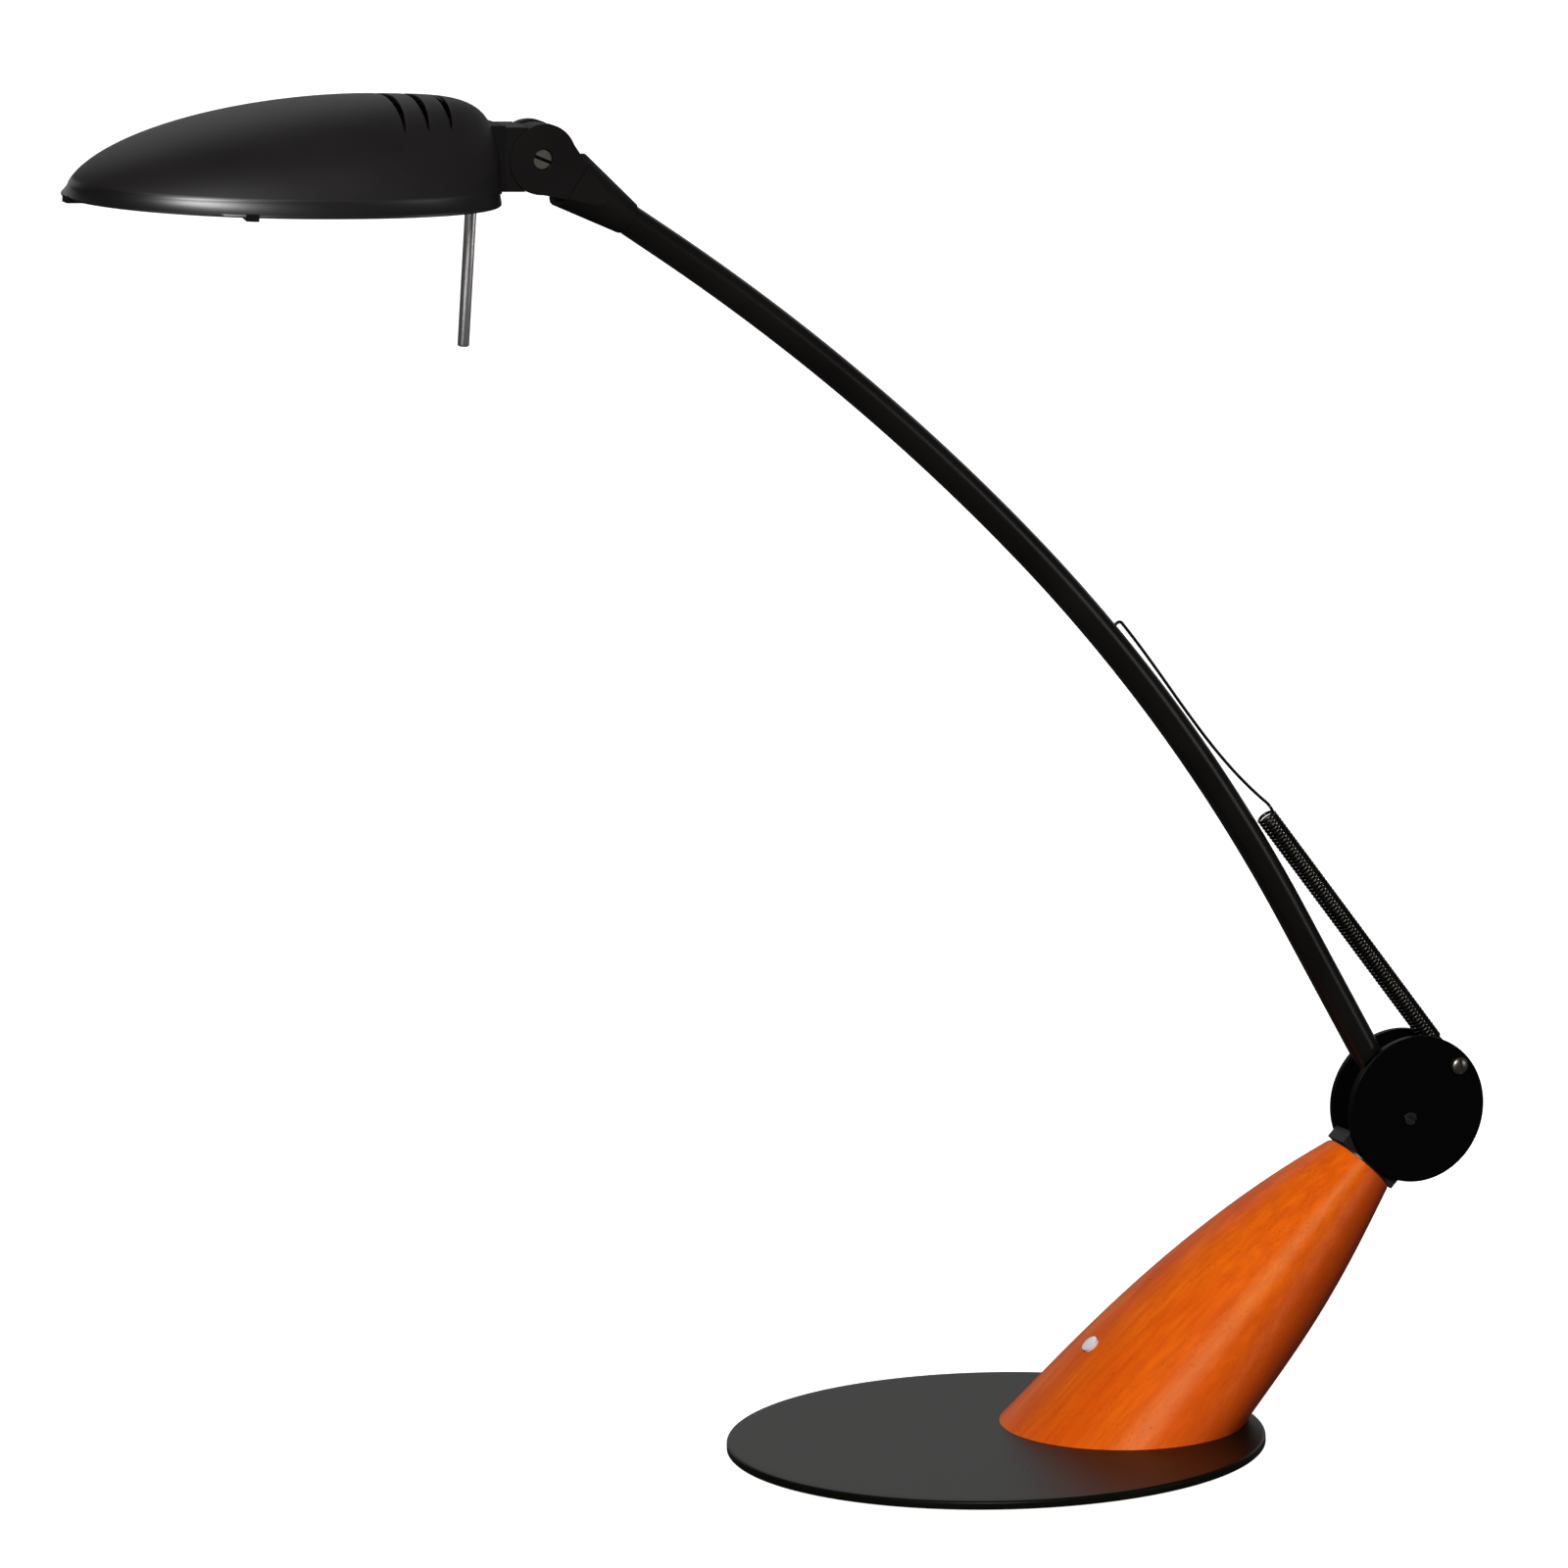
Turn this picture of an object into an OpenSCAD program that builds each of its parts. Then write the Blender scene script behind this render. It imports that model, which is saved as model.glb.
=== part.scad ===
// Desk lamp: a curved arm balanced by a spring, an oval shade and a leaning wooden foot on a round plate.
// Millimetres. The pad rests on Z = 0 below the plate's centre, and the arm reaches out towards -X.

/* [Base] */
// Diameter of the round base plate
base_d = 210; // [200:1:260]
// Thickness of the base plate
plate_t = 3.4; // [2.8:0.1:6]
// Radius of the rounded upper edge of the plate
plate_edge = 1.2; // [0.4:0.1:1.6]
// Thickness of the pad under the plate
pad_t = 0.8; // [0.5:0.1:2]
// How far the pad stays inside the edge of the plate
pad_inset = 7; // [2:0.5:15]

/* [Foot] */
// Distance from the centre of the plate to the middle of the footprint
foot_x = 54.6; // [46:0.1:60]
// Half length of the footprint
foot_r = 47.6; // [45:0.1:58]
// Extra width of the footprint as a share of its length
foot_spread = 0.07; // [0:0.01:0.12]
// Radius that the middle of the foot is drawn towards
foot_belly = 35.2; // [32:0.1:43]
// Radius of the top end
foot_top_r = 14.8; // [14:0.1:19]
// Horizontal run from the footprint to the top end
foot_run = 103.7; // [96:0.1:118]
// Height of the middle of the top end above the plate
foot_rise = 90.8; // [84:0.1:100]
// How far the middle of the foot is lifted above the straight line
foot_bow = 4.7; // [2:0.1:8]
// Angle of the foot's axis at the top end
foot_lean = 45; // [42:0.1:48]
// Width of the pocket for the transformer, along X and along Y, and its height
pocket_size = [34, 44, 30]; // [26:1:50]
// Distance from the middle of the footprint to the middle of the pocket
pocket_shift = 19.6; // [17:0.1:23]
// Thread diameter of the screws through the plate
plate_screw_d = 4; // [3:0.5:5]
// Depth of the foot screws in the wood
foot_screw_depth = 15; // [10:1:18]

/* [Switch] */
// Place of the push button along the foot, from plate to top end
button_place = 0.26; // [0.25:0.005:0.32]
// Diameter of the push button
button_d = 7; // [5:0.5:9]
// How far the button stands out of the wood
button_out = 1.6; // [1.4:0.1:2.5]
// Diameter of the switch behind it
switch_d = 11.8; // [10:0.1:13]
// Length of the switch
switch_l = 10.5; // [8:0.5:11]

/* [Cord gland] */
// Outer diameter of the gland
gland_d = 8; // [7:0.5:10]
// Bore of the gland
gland_bore = 5.5; // [4:0.5:6]
// Height of the gland above the plate
gland_rise = 8; // [7:0.5:10]

/* [Pivot] */
// Diameter of the two discs
disc_d = 58.2; // [54:0.2:58.6]
// Thickness of each disc
disc_t = 3; // [2:0.1:4]
// Inner gap between the discs
disc_gap = 13.3; // [12.9:0.1:18]
// Distance from the wood's top end to the centre of the discs
disc_reach = 30.4; // [30.2:0.1:33]
// Distance from the wood's top end to the arm's pivot
pivot_reach = 25.7; // [25:0.1:28]
// Diameter of the pivot bolt
pivot_d = 5; // [4:0.5:6]
// Distance from the centre of the discs to the spring's anchor screw
anchor_reach = 24; // [22:0.1:24.4]
// Direction of the anchor screw from the centre of the discs
anchor_angle = 40.5; // [30:0.5:50]
// Diameter of the anchor screw
anchor_d = 4; // [3:0.5:4.5]

/* [Arm] */
// Outer diameter of the arm tube
tube_d = 12; // [10:0.2:12.4]
// Wall of the arm tube
tube_wall = 1; // [0.8:0.1:1.5]
// Angle of the straight lower part above the horizontal
arm_angle = 61.7; // [58:0.1:64]
// Length of the straight lower part from the pivot
arm_straight = 96.8; // [80:0.1:130]
// Radius of the lower bend
bend_low_r = 750; // [650:5:900]
// Turn of the lower bend
bend_low_turn = 14.7; // [12:0.1:17]
// Radius of the upper bend
bend_high_r = 1015; // [900:5:1300]
// Turn of the upper bend
bend_high_turn = 11.3; // [9:0.1:14]
// Straight run of the tube's upper end
arm_tip = 45; // [40:0.5:60]

/* [Spring] */
// Outer diameter of the coil
coil_d = 7.2; // [6:0.1:7.4]
// Diameter of the wire
wire_d = 1.1; // [0.8:0.05:1.15]
// Length of the coil
coil_l = 119; // [112:0.5:128]
// Whole turns in the coil
coil_turns = 72; // [40:1:74]
// Distance from the anchor screw to the first turn
coil_start = 11; // [9:0.5:13]
// Distance along the arm from its pivot to the hole that takes the hook
hook_place = 239; // [228:0.5:250]
// How far the spring's axis passes above that hole
hook_lift = 3.4; // [3:0.1:5]
// Inner bend radius of the hook
hook_bend = 1.6; // [1.4:0.1:2.5]

/* [Head joint] */
// Distance from the tube's end to the hinge
hinge_reach = 19; // [18.5:0.1:24]
// Radius of the round cheeks
cheek_r = 13.6; // [12.5:0.1:14]
// Width across the fork
fork_w = 17; // [15:0.1:20]
// Width of the slot between the cheeks
fork_slot = 9; // [8:0.1:10]
// Length of the fork from the hinge to the sleeve
fork_l = 17; // [16.5:0.1:18]
// Half height of the fork where it meets the sleeve
fork_end = 7.6; // [7:0.1:9]
// Diameter of the hinge screw
hinge_d = 4; // [3:0.5:5]
// Diameter of the hinge screw's head
hinge_head = 7.4; // [6:0.1:9]
// Depth of the hinge screw's head below the cheek's face
hinge_sink = 1; // [0.4:0.1:1.6]
// Length of the conical sleeve
sleeve_l = 28.7; // [24:0.1:34]
// Diameter of the sleeve at the fork
sleeve_d = 23; // [21:0.1:26]
// Diameter of the sleeve at its small end
sleeve_end_d = 13.2; // [13.2:0.1:16]
// Height of the neck behind the shade
neck_h = 24.6; // [20:0.1:25]

/* [Shade] */
// Length of the shade
shade_l = 170.2; // [155:0.2:205]
// Full width of the shade
shade_w = 105; // [90:0.2:128]
// Height of the shade's ridge
shade_h = 39.7; // [36:0.1:48]
// Distance from the rear to the widest place
shade_wide = 86.7; // [78:0.1:95]
// Distance from the rear to the highest place
shade_crown = 47.8; // [42:0.1:52]
// Sheet thickness of the shade
shade_wall = 1.5; // [1:0.1:2]
// Tilt of the shade, nose up
shade_pitch = 4.8; // [0:0.1:8]
// Distance of the hinge behind the shade's rear
hinge_back = 17.9; // [17:0.1:19.5]
// Height of the hinge above the rim
hinge_up = 16.1; // [15.5:0.1:18]
// Height of the straight wall inside the rim
rim_h = 3.8; // [3.4:0.1:4.4]
// Thickness of the rim's flared edge
lip_edge = 0.8; // [0.5:0.1:1.2]
// How far the rim flares out
lip_out = 1.2; // [0.6:0.1:1.5]
// Distance from the rear to the rearmost vent slot
slot_first = 25.2; // [22:0.1:28]
// Spacing of the vent slots
slot_pitch = 10.2; // [8:0.1:12]
// Width of a vent slot on the ridge
slot_w = 3.4; // [1.5:0.1:4]
// Diameter of the handle rod
rod_d = 4.5; // [3:0.5:5]
// Length of the handle rod below the rim
rod_l = 56.3; // [30:0.1:90]

/* [Lamp] */
// Radius of the reflector's mouth
bowl_r = 36; // [30:0.5:38]
// Depth of the reflector
bowl_h = 21; // [16:0.5:24]
// Thickness of the glass
glass_t = 3; // [2:0.1:3.2]
// Diameter of the bulb
bulb_d = 10; // [8:0.5:11]
// Length of the bulb's capsule
bulb_l = 34; // [24:1:38]

/* [Hidden] */
$fn = 64;

// Clearances: a running fit on the radius, a gap between moving pieces, and an overshoot for cuts
run_gap = 0.05;
part_gap = 0.3;
cut = 1;

// Heights and places on the base
base_top = pad_t + plate_t;
pocket_x = foot_x + pocket_shift;
foot_top = [foot_x + foot_run, 0, base_top + foot_rise];
foot_axis = [cos(foot_lean), 0, sin(foot_lean)];
foot_rings = 24;
foot_sides = 48;
lean_power = 1.25;
foot_screw_off = 13;
foot_screw_side = pocket_size[1] / 2 + foot_screw_off;
foot_screw_along = [-8, 24];
foot_screw_spots = [for (side = [-1, 1], x = foot_screw_along) [foot_x + x, side * foot_screw_side]];
core_room = [8, 4, 4];
core_size = pocket_size - core_room;
core_yoke = 5;
transformer_screw_spots = [for (side = [-1, 1]) [pocket_x, side * (core_size[1] / 2 - core_yoke)]];
countersink_d = 2 * plate_screw_d;
countersink_h = plate_screw_d / 2;

// The fitting on top of the foot, measured along the foot's axis
collar_t = 0.8;
collar_inset = 0.9;
collar_r = foot_top_r - collar_inset;
block_half = foot_top_r;
block_top = 6.4;
tongue_top = 12.6;
tongue_half = 5.5;
tie_d = 8;
tie_bore = 5;
tie_depth = 40;
tie_top = 7.6;
rivet_d = 3;
rivet_side = 2.8;
rivet_down = 2.4;
rivet_spots = [for (side = [-1, 1]) [side * rivet_side, tongue_top - rivet_down]];
wire_bore = 6;
wire_run = 98;

// Screw heads and nuts
screw_slot_w = 1.2;
screw_slot_depth = 0.8;
nut_h = 3.2;
bolt_past = 0.4;

// The arm's path in the plane Y = 0, from the pivot up to the tube's end
pivot = foot_top + pivot_reach * foot_axis;
disc_mid = foot_top + disc_reach * foot_axis;
disc_out = disc_gap / 2 + disc_t;
anchor = disc_mid + anchor_reach * [cos(anchor_angle), 0, sin(anchor_angle)];
bend_low_from = pivot + arm_straight * along(arm_angle);
bend_low_mid = bend_low_from - bend_low_r * across(arm_angle);
bend_high_angle = arm_angle - bend_low_turn;
bend_high_from = bend_low_mid + bend_low_r * across(bend_high_angle);
bend_high_mid = bend_high_from - bend_high_r * across(bend_high_angle);
tip_angle = bend_high_angle - bend_high_turn;
tip_from = bend_high_mid + bend_high_r * across(tip_angle);
tube_end = tip_from + arm_tip * along(tip_angle);
hinge = tube_end + hinge_reach * along(tip_angle);
tube_start = 8;
eye_r = 7.5;
eye_slack = 0.5;
eye_w = disc_gap - 4 * part_gap - eye_slack;
plug_d = tube_d - 2 * tube_wall - 2 * run_gap;
plug_l = 28;
bar_lap = 2;
hair = 0.16;
shank_d = plug_d - hair;

// The spring's frame: its axis runs from the anchor to a point above the hook's hole
hook_turn = (hook_place - arm_straight) / bend_low_r * 180 / PI;
hook_angle = arm_angle - hook_turn;
hook_out = across(hook_angle);
hook_point = bend_low_mid + (bend_low_r + tube_d / 2) * hook_out;
hook_room = 0.8;
hook_hole = wire_d + hook_room;
coil_axis = unit(hook_point + hook_lift * hook_out - anchor);
coil_side = [coil_axis[2], 0, -coil_axis[0]];
coil_r = (coil_d - wire_d) / 2;
loop_r = anchor_d / 2 + wire_d / 2 + part_gap;
lead_in = 60;
lead_l = 3.2;
lead_ease = 2;
lead_pull = 1.5;
coil_steps = 8;
coil_sweep = 360 * coil_turns - 2 * lead_in;
coil_top = coil_start + coil_l;

// The head joint
tongue_w = fork_slot - 6 * part_gap;
tongue_r = cheek_r - 2 * part_gap;
web_from = cheek_r + part_gap;
washer_t = 0.5;
hinge_head_h = 1.4;
hinge_face = -fork_w / 2 + hinge_sink;
fork_turn = atan2(fork_end, fork_l) + acos(cheek_r / norm([fork_l, fork_end]));
sleeve_over = 0.6;
sleeve_flat = fork_w + 2 * sleeve_over;

// The shade's frame lies on its rim at the rear, and its hinge is given in that frame
shade_turn = [0, shade_pitch, 0];
shade_x = [cos(shade_pitch), 0, -sin(shade_pitch)];
shade_z = [sin(shade_pitch), 0, cos(shade_pitch)];
shade_at = hinge - hinge_back * shade_x - hinge_up * shade_z;
shade_mid = [-80, 0];
tip_power = 2.03;
rear_power = 2.19;
nose_power = 1.78;
tail_power = 4.6;
dome_power = 2.05;
shade_sides = 56;
shade_levels = [0.99, 0.97, 0.94, 0.91, 0.87, 0.82, 0.75, 0.66, 0.55, 0.42, 0.27, 0.12, 0.03];
flare_turns = [30, 60, 90];
gasket_t = 1.2;
gasket_deep = 6;
gasket_over = 0.7;
neck_screw_d = 3;
neck_screw_rise = 6;
neck_head_h = 2;
bracket_from = -12.5;
bracket_half = 10;
bracket_z = [2.5, 26.5];
rod_x = -7.3;
rod_in = 7.5;
slot_count = 3;
slot_share = 0.684;
slot_sweep = 0.15;
slot_steps = 10;

// Inside the shade
pan_z = glass_t;
pan_t = 1;
pan_end = -14;
pan_gap = 2;
bowl_x = -85;
bowl_top_r = 14;
bowl_wall = 0.8;
holder_size = [14, 16, 14];
holder_gap = 1.5;
holder_x = bowl_x + bowl_r + holder_gap;
holder_rise = 3;
holder_z = pan_z + pan_t + holder_rise;
bulb_z = holder_z + holder_size[2] / 2;
bulb_neck = 6;
bulb_lap = 1;
bulb_pins = 4;
bulb_room = 2;
clip_w = 5;
clip_t = 1.2;
clip_in = 7;
clip_wall = 1;
clip_up = 1.6;
clip_angles = [111, 180, 249];

function unit(v) = v / norm(v);
function along(angle) = [-cos(angle), 0, sin(angle)];
function across(angle) = [sin(angle), 0, cos(angle)];
function curve(a, b, c, t) = (1 - t) * (1 - t) * a + 2 * t * (1 - t) * b + t * t * c;
function bezier(a, b, c, d, t) = (1 - t) * curve(a, b, c, t) + t * curve(b, c, d, t);

// A closed skin through rings of equal length, which turn anticlockwise as seen from the last one
module loft(rings) {
    n = len(rings[0]);
    last = (len(rings) - 1) * n;
    points = [for (ring = rings) each ring];
    sides = [
        for (i = [0 : len(rings) - 2], j = [0 : n - 1])
        let (a = i * n + j, b = i * n + (j + 1) % n)
        each [[a, a + n, b + n], [a, b + n, b]]
    ];
    first_cap = [for (j = [1 : n - 2]) [0, j, j + 1]];
    last_cap = [for (j = [1 : n - 2]) [last, last + j + 1, last + j]];
    polyhedron(points, concat(first_cap, sides, last_cap));
}

// A tube of a few sides swept along points
module tube(path, d, sides) {
    n = len(path);
    heading = [for (i = [0 : n - 1]) unit(path[min(i + 1, n - 1)] - path[max(i - 1, 0)])];
    side = [
        for (i = 0, v = unit(cross(heading[0], [0.3, 1, 0.2])); i < n;
            i = i + 1, v = i < n ? unit(v - heading[i] * (v * heading[i])) : v) v
    ];
    loft([
        for (i = [0 : n - 1]) [
            for (k = [0 : sides - 1])
            let (a = 360 * k / sides)
            path[i] + d / 2 * (cos(a) * side[i] + sin(a) * cross(heading[i], side[i]))
        ]
    ]);
}

// Frames of the sub-assemblies
module at_foot_top() { translate(foot_top) rotate([0, 90 - foot_lean, 0]) children(); }
module at_fork() { translate(hinge) rotate([0, tip_angle, 0]) children(); }
module at_shade() { translate(shade_at) rotate(shade_turn) children(); }
module at_arm_start() { translate(pivot) rotate([0, arm_angle - 90, 0]) children(); }
module along_y(from, to) { translate([0, from, 0]) rotate([-90, 0, 0]) linear_extrude(to - from) children(); }
module pin_y(d, from, to) { along_y(from, to) circle(d = d); }
module pin_x(d, from, to) { translate([from, 0, 0]) rotate([0, 90, 0]) cylinder(d = d, h = to - from); }

// The foot is a row of circles that lean over from the plate to the top end
function foot_mid(t) = curve(
    [foot_x, 0, base_top],
    [foot_x + foot_run / 2, 0, base_top + foot_rise / 2 + foot_bow],
    foot_top, t);
function foot_radius(t) = curve(foot_r, foot_belly, foot_top_r, t);
function lean_at(t) = 90 + (foot_lean - 90) * pow(t, lean_power);
function foot_up(t) = [-sin(lean_at(t)), 0, cos(lean_at(t))];
function foot_ring(t) = [
    for (k = [0 : foot_sides - 1])
    let (a = 360 * k / foot_sides, wide = 1 + foot_spread * (1 - t))
    foot_mid(t) + foot_radius(t) * (cos(a) * foot_up(t) - wide * sin(a) * [0, 1, 0])
];
function foot_ridge(t) = foot_mid(t) + foot_radius(t) * foot_up(t);

// The button's frame stands on the ridge of the foot, with +Z out of the wood
button_at = foot_ridge(button_place);
button_run = unit(foot_ridge(button_place + 0.01) - foot_ridge(button_place - 0.01));
button_out_dir = [-button_run[2], 0, button_run[0]];
button_depth = 3.5;
button_clear = 3;
stem_d = 2.6;
stem_l = 5;
stem_lap = 1;
switch_seat = 5.5;
switch_room = 20;
module at_button() {
    translate(button_at) rotate([0, atan2(button_out_dir[0], button_out_dir[2]), 0]) children();
}

module base_pad() {
    color("dimgray") cylinder(d = base_d - 2 * pad_inset, h = pad_t);
}

module countersunk(depth) {
    cylinder(d1 = countersink_d, d2 = plate_screw_d, h = countersink_h);
    cylinder(d = plate_screw_d, h = depth);
}

module base_plate() {
    color("#262524") difference() {
        translate([0, 0, pad_t]) rotate_extrude() union() {
            square([base_d / 2 - plate_edge, plate_t]);
            square([base_d / 2, plate_t - plate_edge]);
            translate([base_d / 2 - plate_edge, plate_t - plate_edge]) circle(r = plate_edge);
        }
        for (spot = concat(foot_screw_spots, transformer_screw_spots)) translate([spot[0], spot[1], pad_t])
            plate_hole();
    }
}

module plate_hole() {
    hole_d = plate_screw_d + 2 * run_gap;
    translate([0, 0, -cut]) cylinder(d = hole_d, h = plate_t + 2 * cut);
    cylinder(d1 = countersink_d + 4 * run_gap, d2 = hole_d, h = countersink_h + 2 * run_gap);
}

module foot_screws() {
    color("silver") for (spot = foot_screw_spots) translate([spot[0], spot[1], pad_t])
        countersunk(plate_t + foot_screw_depth);
}

module foot() {
    color("#c65f16") difference() {
        loft([for (i = [0 : foot_rings]) foot_ring(i / foot_rings)]);
        translate([pocket_x - pocket_size[0] / 2, -pocket_size[1] / 2, base_top - cut])
            cube([pocket_size[0], pocket_size[1], pocket_size[2] + cut]);
        for (spot = foot_screw_spots) translate([spot[0], spot[1], base_top - cut])
            cylinder(d = plate_screw_d + 2 * run_gap, h = foot_screw_depth + cut + part_gap);
        at_foot_top() {
            translate([0, 0, -tie_depth]) cylinder(d = tie_d + 2 * run_gap, h = tie_depth + cut);
            translate([0, 0, -wire_run]) cylinder(d = wire_bore, h = wire_run);
        }
        at_button() {
            translate([0, 0, -switch_seat])
                cylinder(d = button_d + 2 * part_gap, h = switch_seat + button_clear);
            translate([0, 0, -switch_seat - switch_room])
                cylinder(d = switch_d + 2 * part_gap, h = switch_room);
        }
        gland_place() {
            pin_x(gland_d + 2 * run_gap, -gland_wall - cut, cut);
            pin_x(gland_flange_d + 2 * part_gap, 0, gland_clear);
        }
    }
}

module transformer_core() {
    color("slategray") translate([pocket_x, 0, base_top]) difference() {
        translate([-core_size[0] / 2, -core_size[1] / 2, 0]) cube(core_size);
        for (side = [-1, 1])
            translate([-core_size[0] / 2 - cut, side * core_size[1] / 4 - window_w / 2, core_yoke])
            cube([core_size[0] + 2 * cut, window_w, core_size[2] - 2 * core_yoke]);
        for (spot = transformer_screw_spots) translate([spot[0] - pocket_x, spot[1], -cut])
            cylinder(d = plate_screw_d + 2 * run_gap, h = core_yoke + cut);
    }
}

window_w = core_size[1] / 4;
coil_over = 2.5;
coil_slack = 0.2;
module transformer_coil() {
    leg = core_size[1] / 2 - window_w;
    wide = core_size[1] / 2 + window_w - 2 * coil_slack;
    color("peru") translate([pocket_x, 0, base_top + core_yoke + coil_slack]) difference() {
        translate([-core_size[0] / 2 - coil_over, -wide / 2, 0])
            cube([core_size[0] + 2 * coil_over, wide, core_size[2] - 2 * core_yoke - 2 * coil_slack]);
        translate([-core_size[0] / 2 - coil_slack, -leg / 2 - coil_slack, -cut])
            cube([core_size[0] + 2 * coil_slack, leg + 2 * coil_slack, core_size[2]]);
    }
}

module transformer_screws() {
    color("silver") for (spot = transformer_screw_spots) translate([spot[0], spot[1], pad_t])
        countersunk(plate_t + core_yoke - part_gap);
}

module switch_body() {
    color("#303030") at_button() translate([0, 0, -switch_seat - switch_l]) difference() {
        cylinder(d = switch_d, h = switch_l);
        translate([0, 0, switch_l - stem_l]) cylinder(d = stem_d + 2 * run_gap, h = stem_l + cut);
    }
}

module switch_button() {
    dome_r = 2 * button_d;
    color("gainsboro") at_button() {
        intersection() {
            translate([0, 0, -button_depth]) cylinder(d = button_d, h = button_depth + button_out);
            translate([0, 0, button_out - dome_r]) sphere(r = dome_r);
        }
        translate([0, 0, -switch_seat - stem_l / 2])
            cylinder(d = stem_d, h = switch_seat + stem_l / 2 - stem_lap);
    }
}

gland_flange_over = 2;
gland_flange_d = gland_d + 2 * gland_flange_over;
gland_flange_t = 2;
gland_wall = 10;
gland_out = 4;
gland_clear = 30;
module gland_place() {
    translate([pocket_x + pocket_size[0] / 2 + gland_wall, 0, base_top + gland_rise]) children();
}

module cord_gland() {
    color("#202020") gland_place() difference() {
        union() {
            pin_x(gland_d, -gland_wall, gland_out);
            pin_x(gland_flange_d, 0, gland_flange_t);
        }
        pin_x(gland_bore, -gland_wall - cut, gland_out + cut);
    }
}

module tie_tube() {
    color("silver") at_foot_top() translate([0, 0, -tie_depth]) difference() {
        cylinder(d = tie_d, h = tie_depth + tie_top);
        translate([0, 0, -cut]) cylinder(d = tie_bore, h = tie_depth + tie_top + 2 * cut);
    }
}

module top_collar() {
    color("#1c1b1a") at_foot_top() difference() {
        cylinder(r = collar_r, h = collar_t);
        translate([0, 0, -cut]) cylinder(d = tie_d + 2 * run_gap, h = collar_t + 2 * cut);
    }
}

module pivot_bracket() {
    color("#1c1b1a") at_foot_top() difference() {
        for (step = [[block_half, block_top], [tongue_half, tongue_top]])
            translate([-step[0], -disc_gap / 2, collar_t])
            cube([2 * step[0], disc_gap, step[1] - collar_t]);
        translate([0, 0, collar_t - cut]) cylinder(d = tie_d + 2 * run_gap, h = tie_top - collar_t + cut);
        rivet_holes();
    }
}

module rivet_holes() {
    for (spot = rivet_spots) translate([spot[0], 0, spot[1]])
        pin_y(rivet_d + 2 * run_gap, -disc_out - cut, disc_out + cut);
}

// One pivot disc between two distances along Y, with a small chamfer on its outer face
module disc(inner, outer) {
    bevel = 0.5;
    color("#191817") difference() {
        translate(disc_mid) rotate([inner < outer ? -90 : 90, 0, 0]) translate([0, 0, abs(inner)])
            rotate_extrude() polygon([[0, 0], [disc_d / 2, 0], [disc_d / 2, disc_t - bevel],
                [disc_d / 2 - bevel, disc_t], [0, disc_t]]);
        translate(pivot) pin_y(pivot_d + 2 * run_gap, -disc_out - cut, disc_out + cut);
        translate(anchor) pin_y(anchor_d + 2 * run_gap, -disc_out - cut, disc_out + cut);
        at_foot_top() rivet_holes();
    }
}

module front_disc() { disc(-disc_gap / 2, -disc_out); }
module rear_disc() { disc(disc_gap / 2, disc_out); }

module disc_rivets() {
    color("#191817") at_foot_top() for (spot = rivet_spots) translate([spot[0], 0, spot[1]])
        pin_y(rivet_d, -disc_out, disc_out);
}

// A slotted screw head on the front, between two distances along Y
module slotted(d, front, back, slot_turn) {
    difference() {
        pin_y(d, front, back);
        rotate([0, slot_turn, 0]) translate([-d, front - cut, -screw_slot_w / 2])
            cube([2 * d, cut + screw_slot_depth, screw_slot_w]);
    }
}

bolt_out = 0.9;
bolt_slot_turn = 30;
module pivot_bolt() {
    color("#57544f") translate(pivot) {
        slotted(pivot_d, -disc_out - bolt_out, 0, bolt_slot_turn);
        pin_y(pivot_d, -cut, disc_out + nut_h + bolt_past);
    }
}

module hex_nut(d, from) {
    along_y(from, from + nut_h) difference() {
        circle(d = 2 * d, $fn = 6);
        circle(d = d + 2 * run_gap);
    }
}

module pivot_nut() { color("#57544f") translate(pivot) hex_nut(pivot_d, disc_out); }

washer_inset = 1;
module pivot_washers() {
    t = (disc_gap - eye_w) / 2 - part_gap;
    color("whitesmoke") translate(pivot) for (side = [0, 1]) mirror([0, side, 0])
        along_y(disc_gap / 2 - t, disc_gap / 2) difference() {
            circle(r = eye_r - washer_inset);
            circle(d = pivot_d + 2 * run_gap);
        }
}

anchor_head = 7;
anchor_head_h = 2.4;
anchor_slot_turn = 80;
module anchor_screw() {
    color("#8d877c") translate(anchor) {
        slotted(anchor_head, -disc_out - anchor_head_h, -disc_out, anchor_slot_turn);
        pin_y(anchor_d, -disc_out - cut / 2, disc_out + nut_h + bolt_past);
    }
}

module anchor_nut() { color("#57544f") translate(anchor) hex_nut(anchor_d, disc_out); }

module arm_eye() {
    color("#3a3836") difference() {
        union() {
            translate(pivot) pin_y(2 * eye_r, -eye_w / 2, eye_w / 2);
            at_arm_start() cylinder(d = plug_d, h = plug_l);
        }
        translate(pivot) pin_y(pivot_d + 2 * run_gap, -tube_d, tube_d);
    }
}

// A bend of the tube, which starts at an angle above the horizontal and turns flatter
module bend(middle, r, angle, turn, over, d) {
    more = over / r * 180 / PI;
    translate(middle) rotate([90, 0, 0]) rotate([0, 0, 90 - angle - more])
        rotate_extrude(angle = turn + 2 * more, $fn = 1440) translate([r, 0]) circle(d = d, $fn = 64);
}

// The arm as a solid bar. Its four lengths overlap and differ by a hair, so that no two skins coincide
module arm_bar(d, over) {
    at_arm_start() translate([0, 0, tube_start - over])
        cylinder(d = d, h = arm_straight - tube_start + over + bar_lap);
    bend(bend_low_mid, bend_low_r, arm_angle, bend_low_turn, 0, d - hair);
    bend(bend_high_mid, bend_high_r, bend_high_angle, bend_high_turn, bar_lap, d);
    translate(tip_from) rotate([0, tip_angle - 90, 0]) cylinder(d = d - hair, h = arm_tip + over);
}

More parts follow.
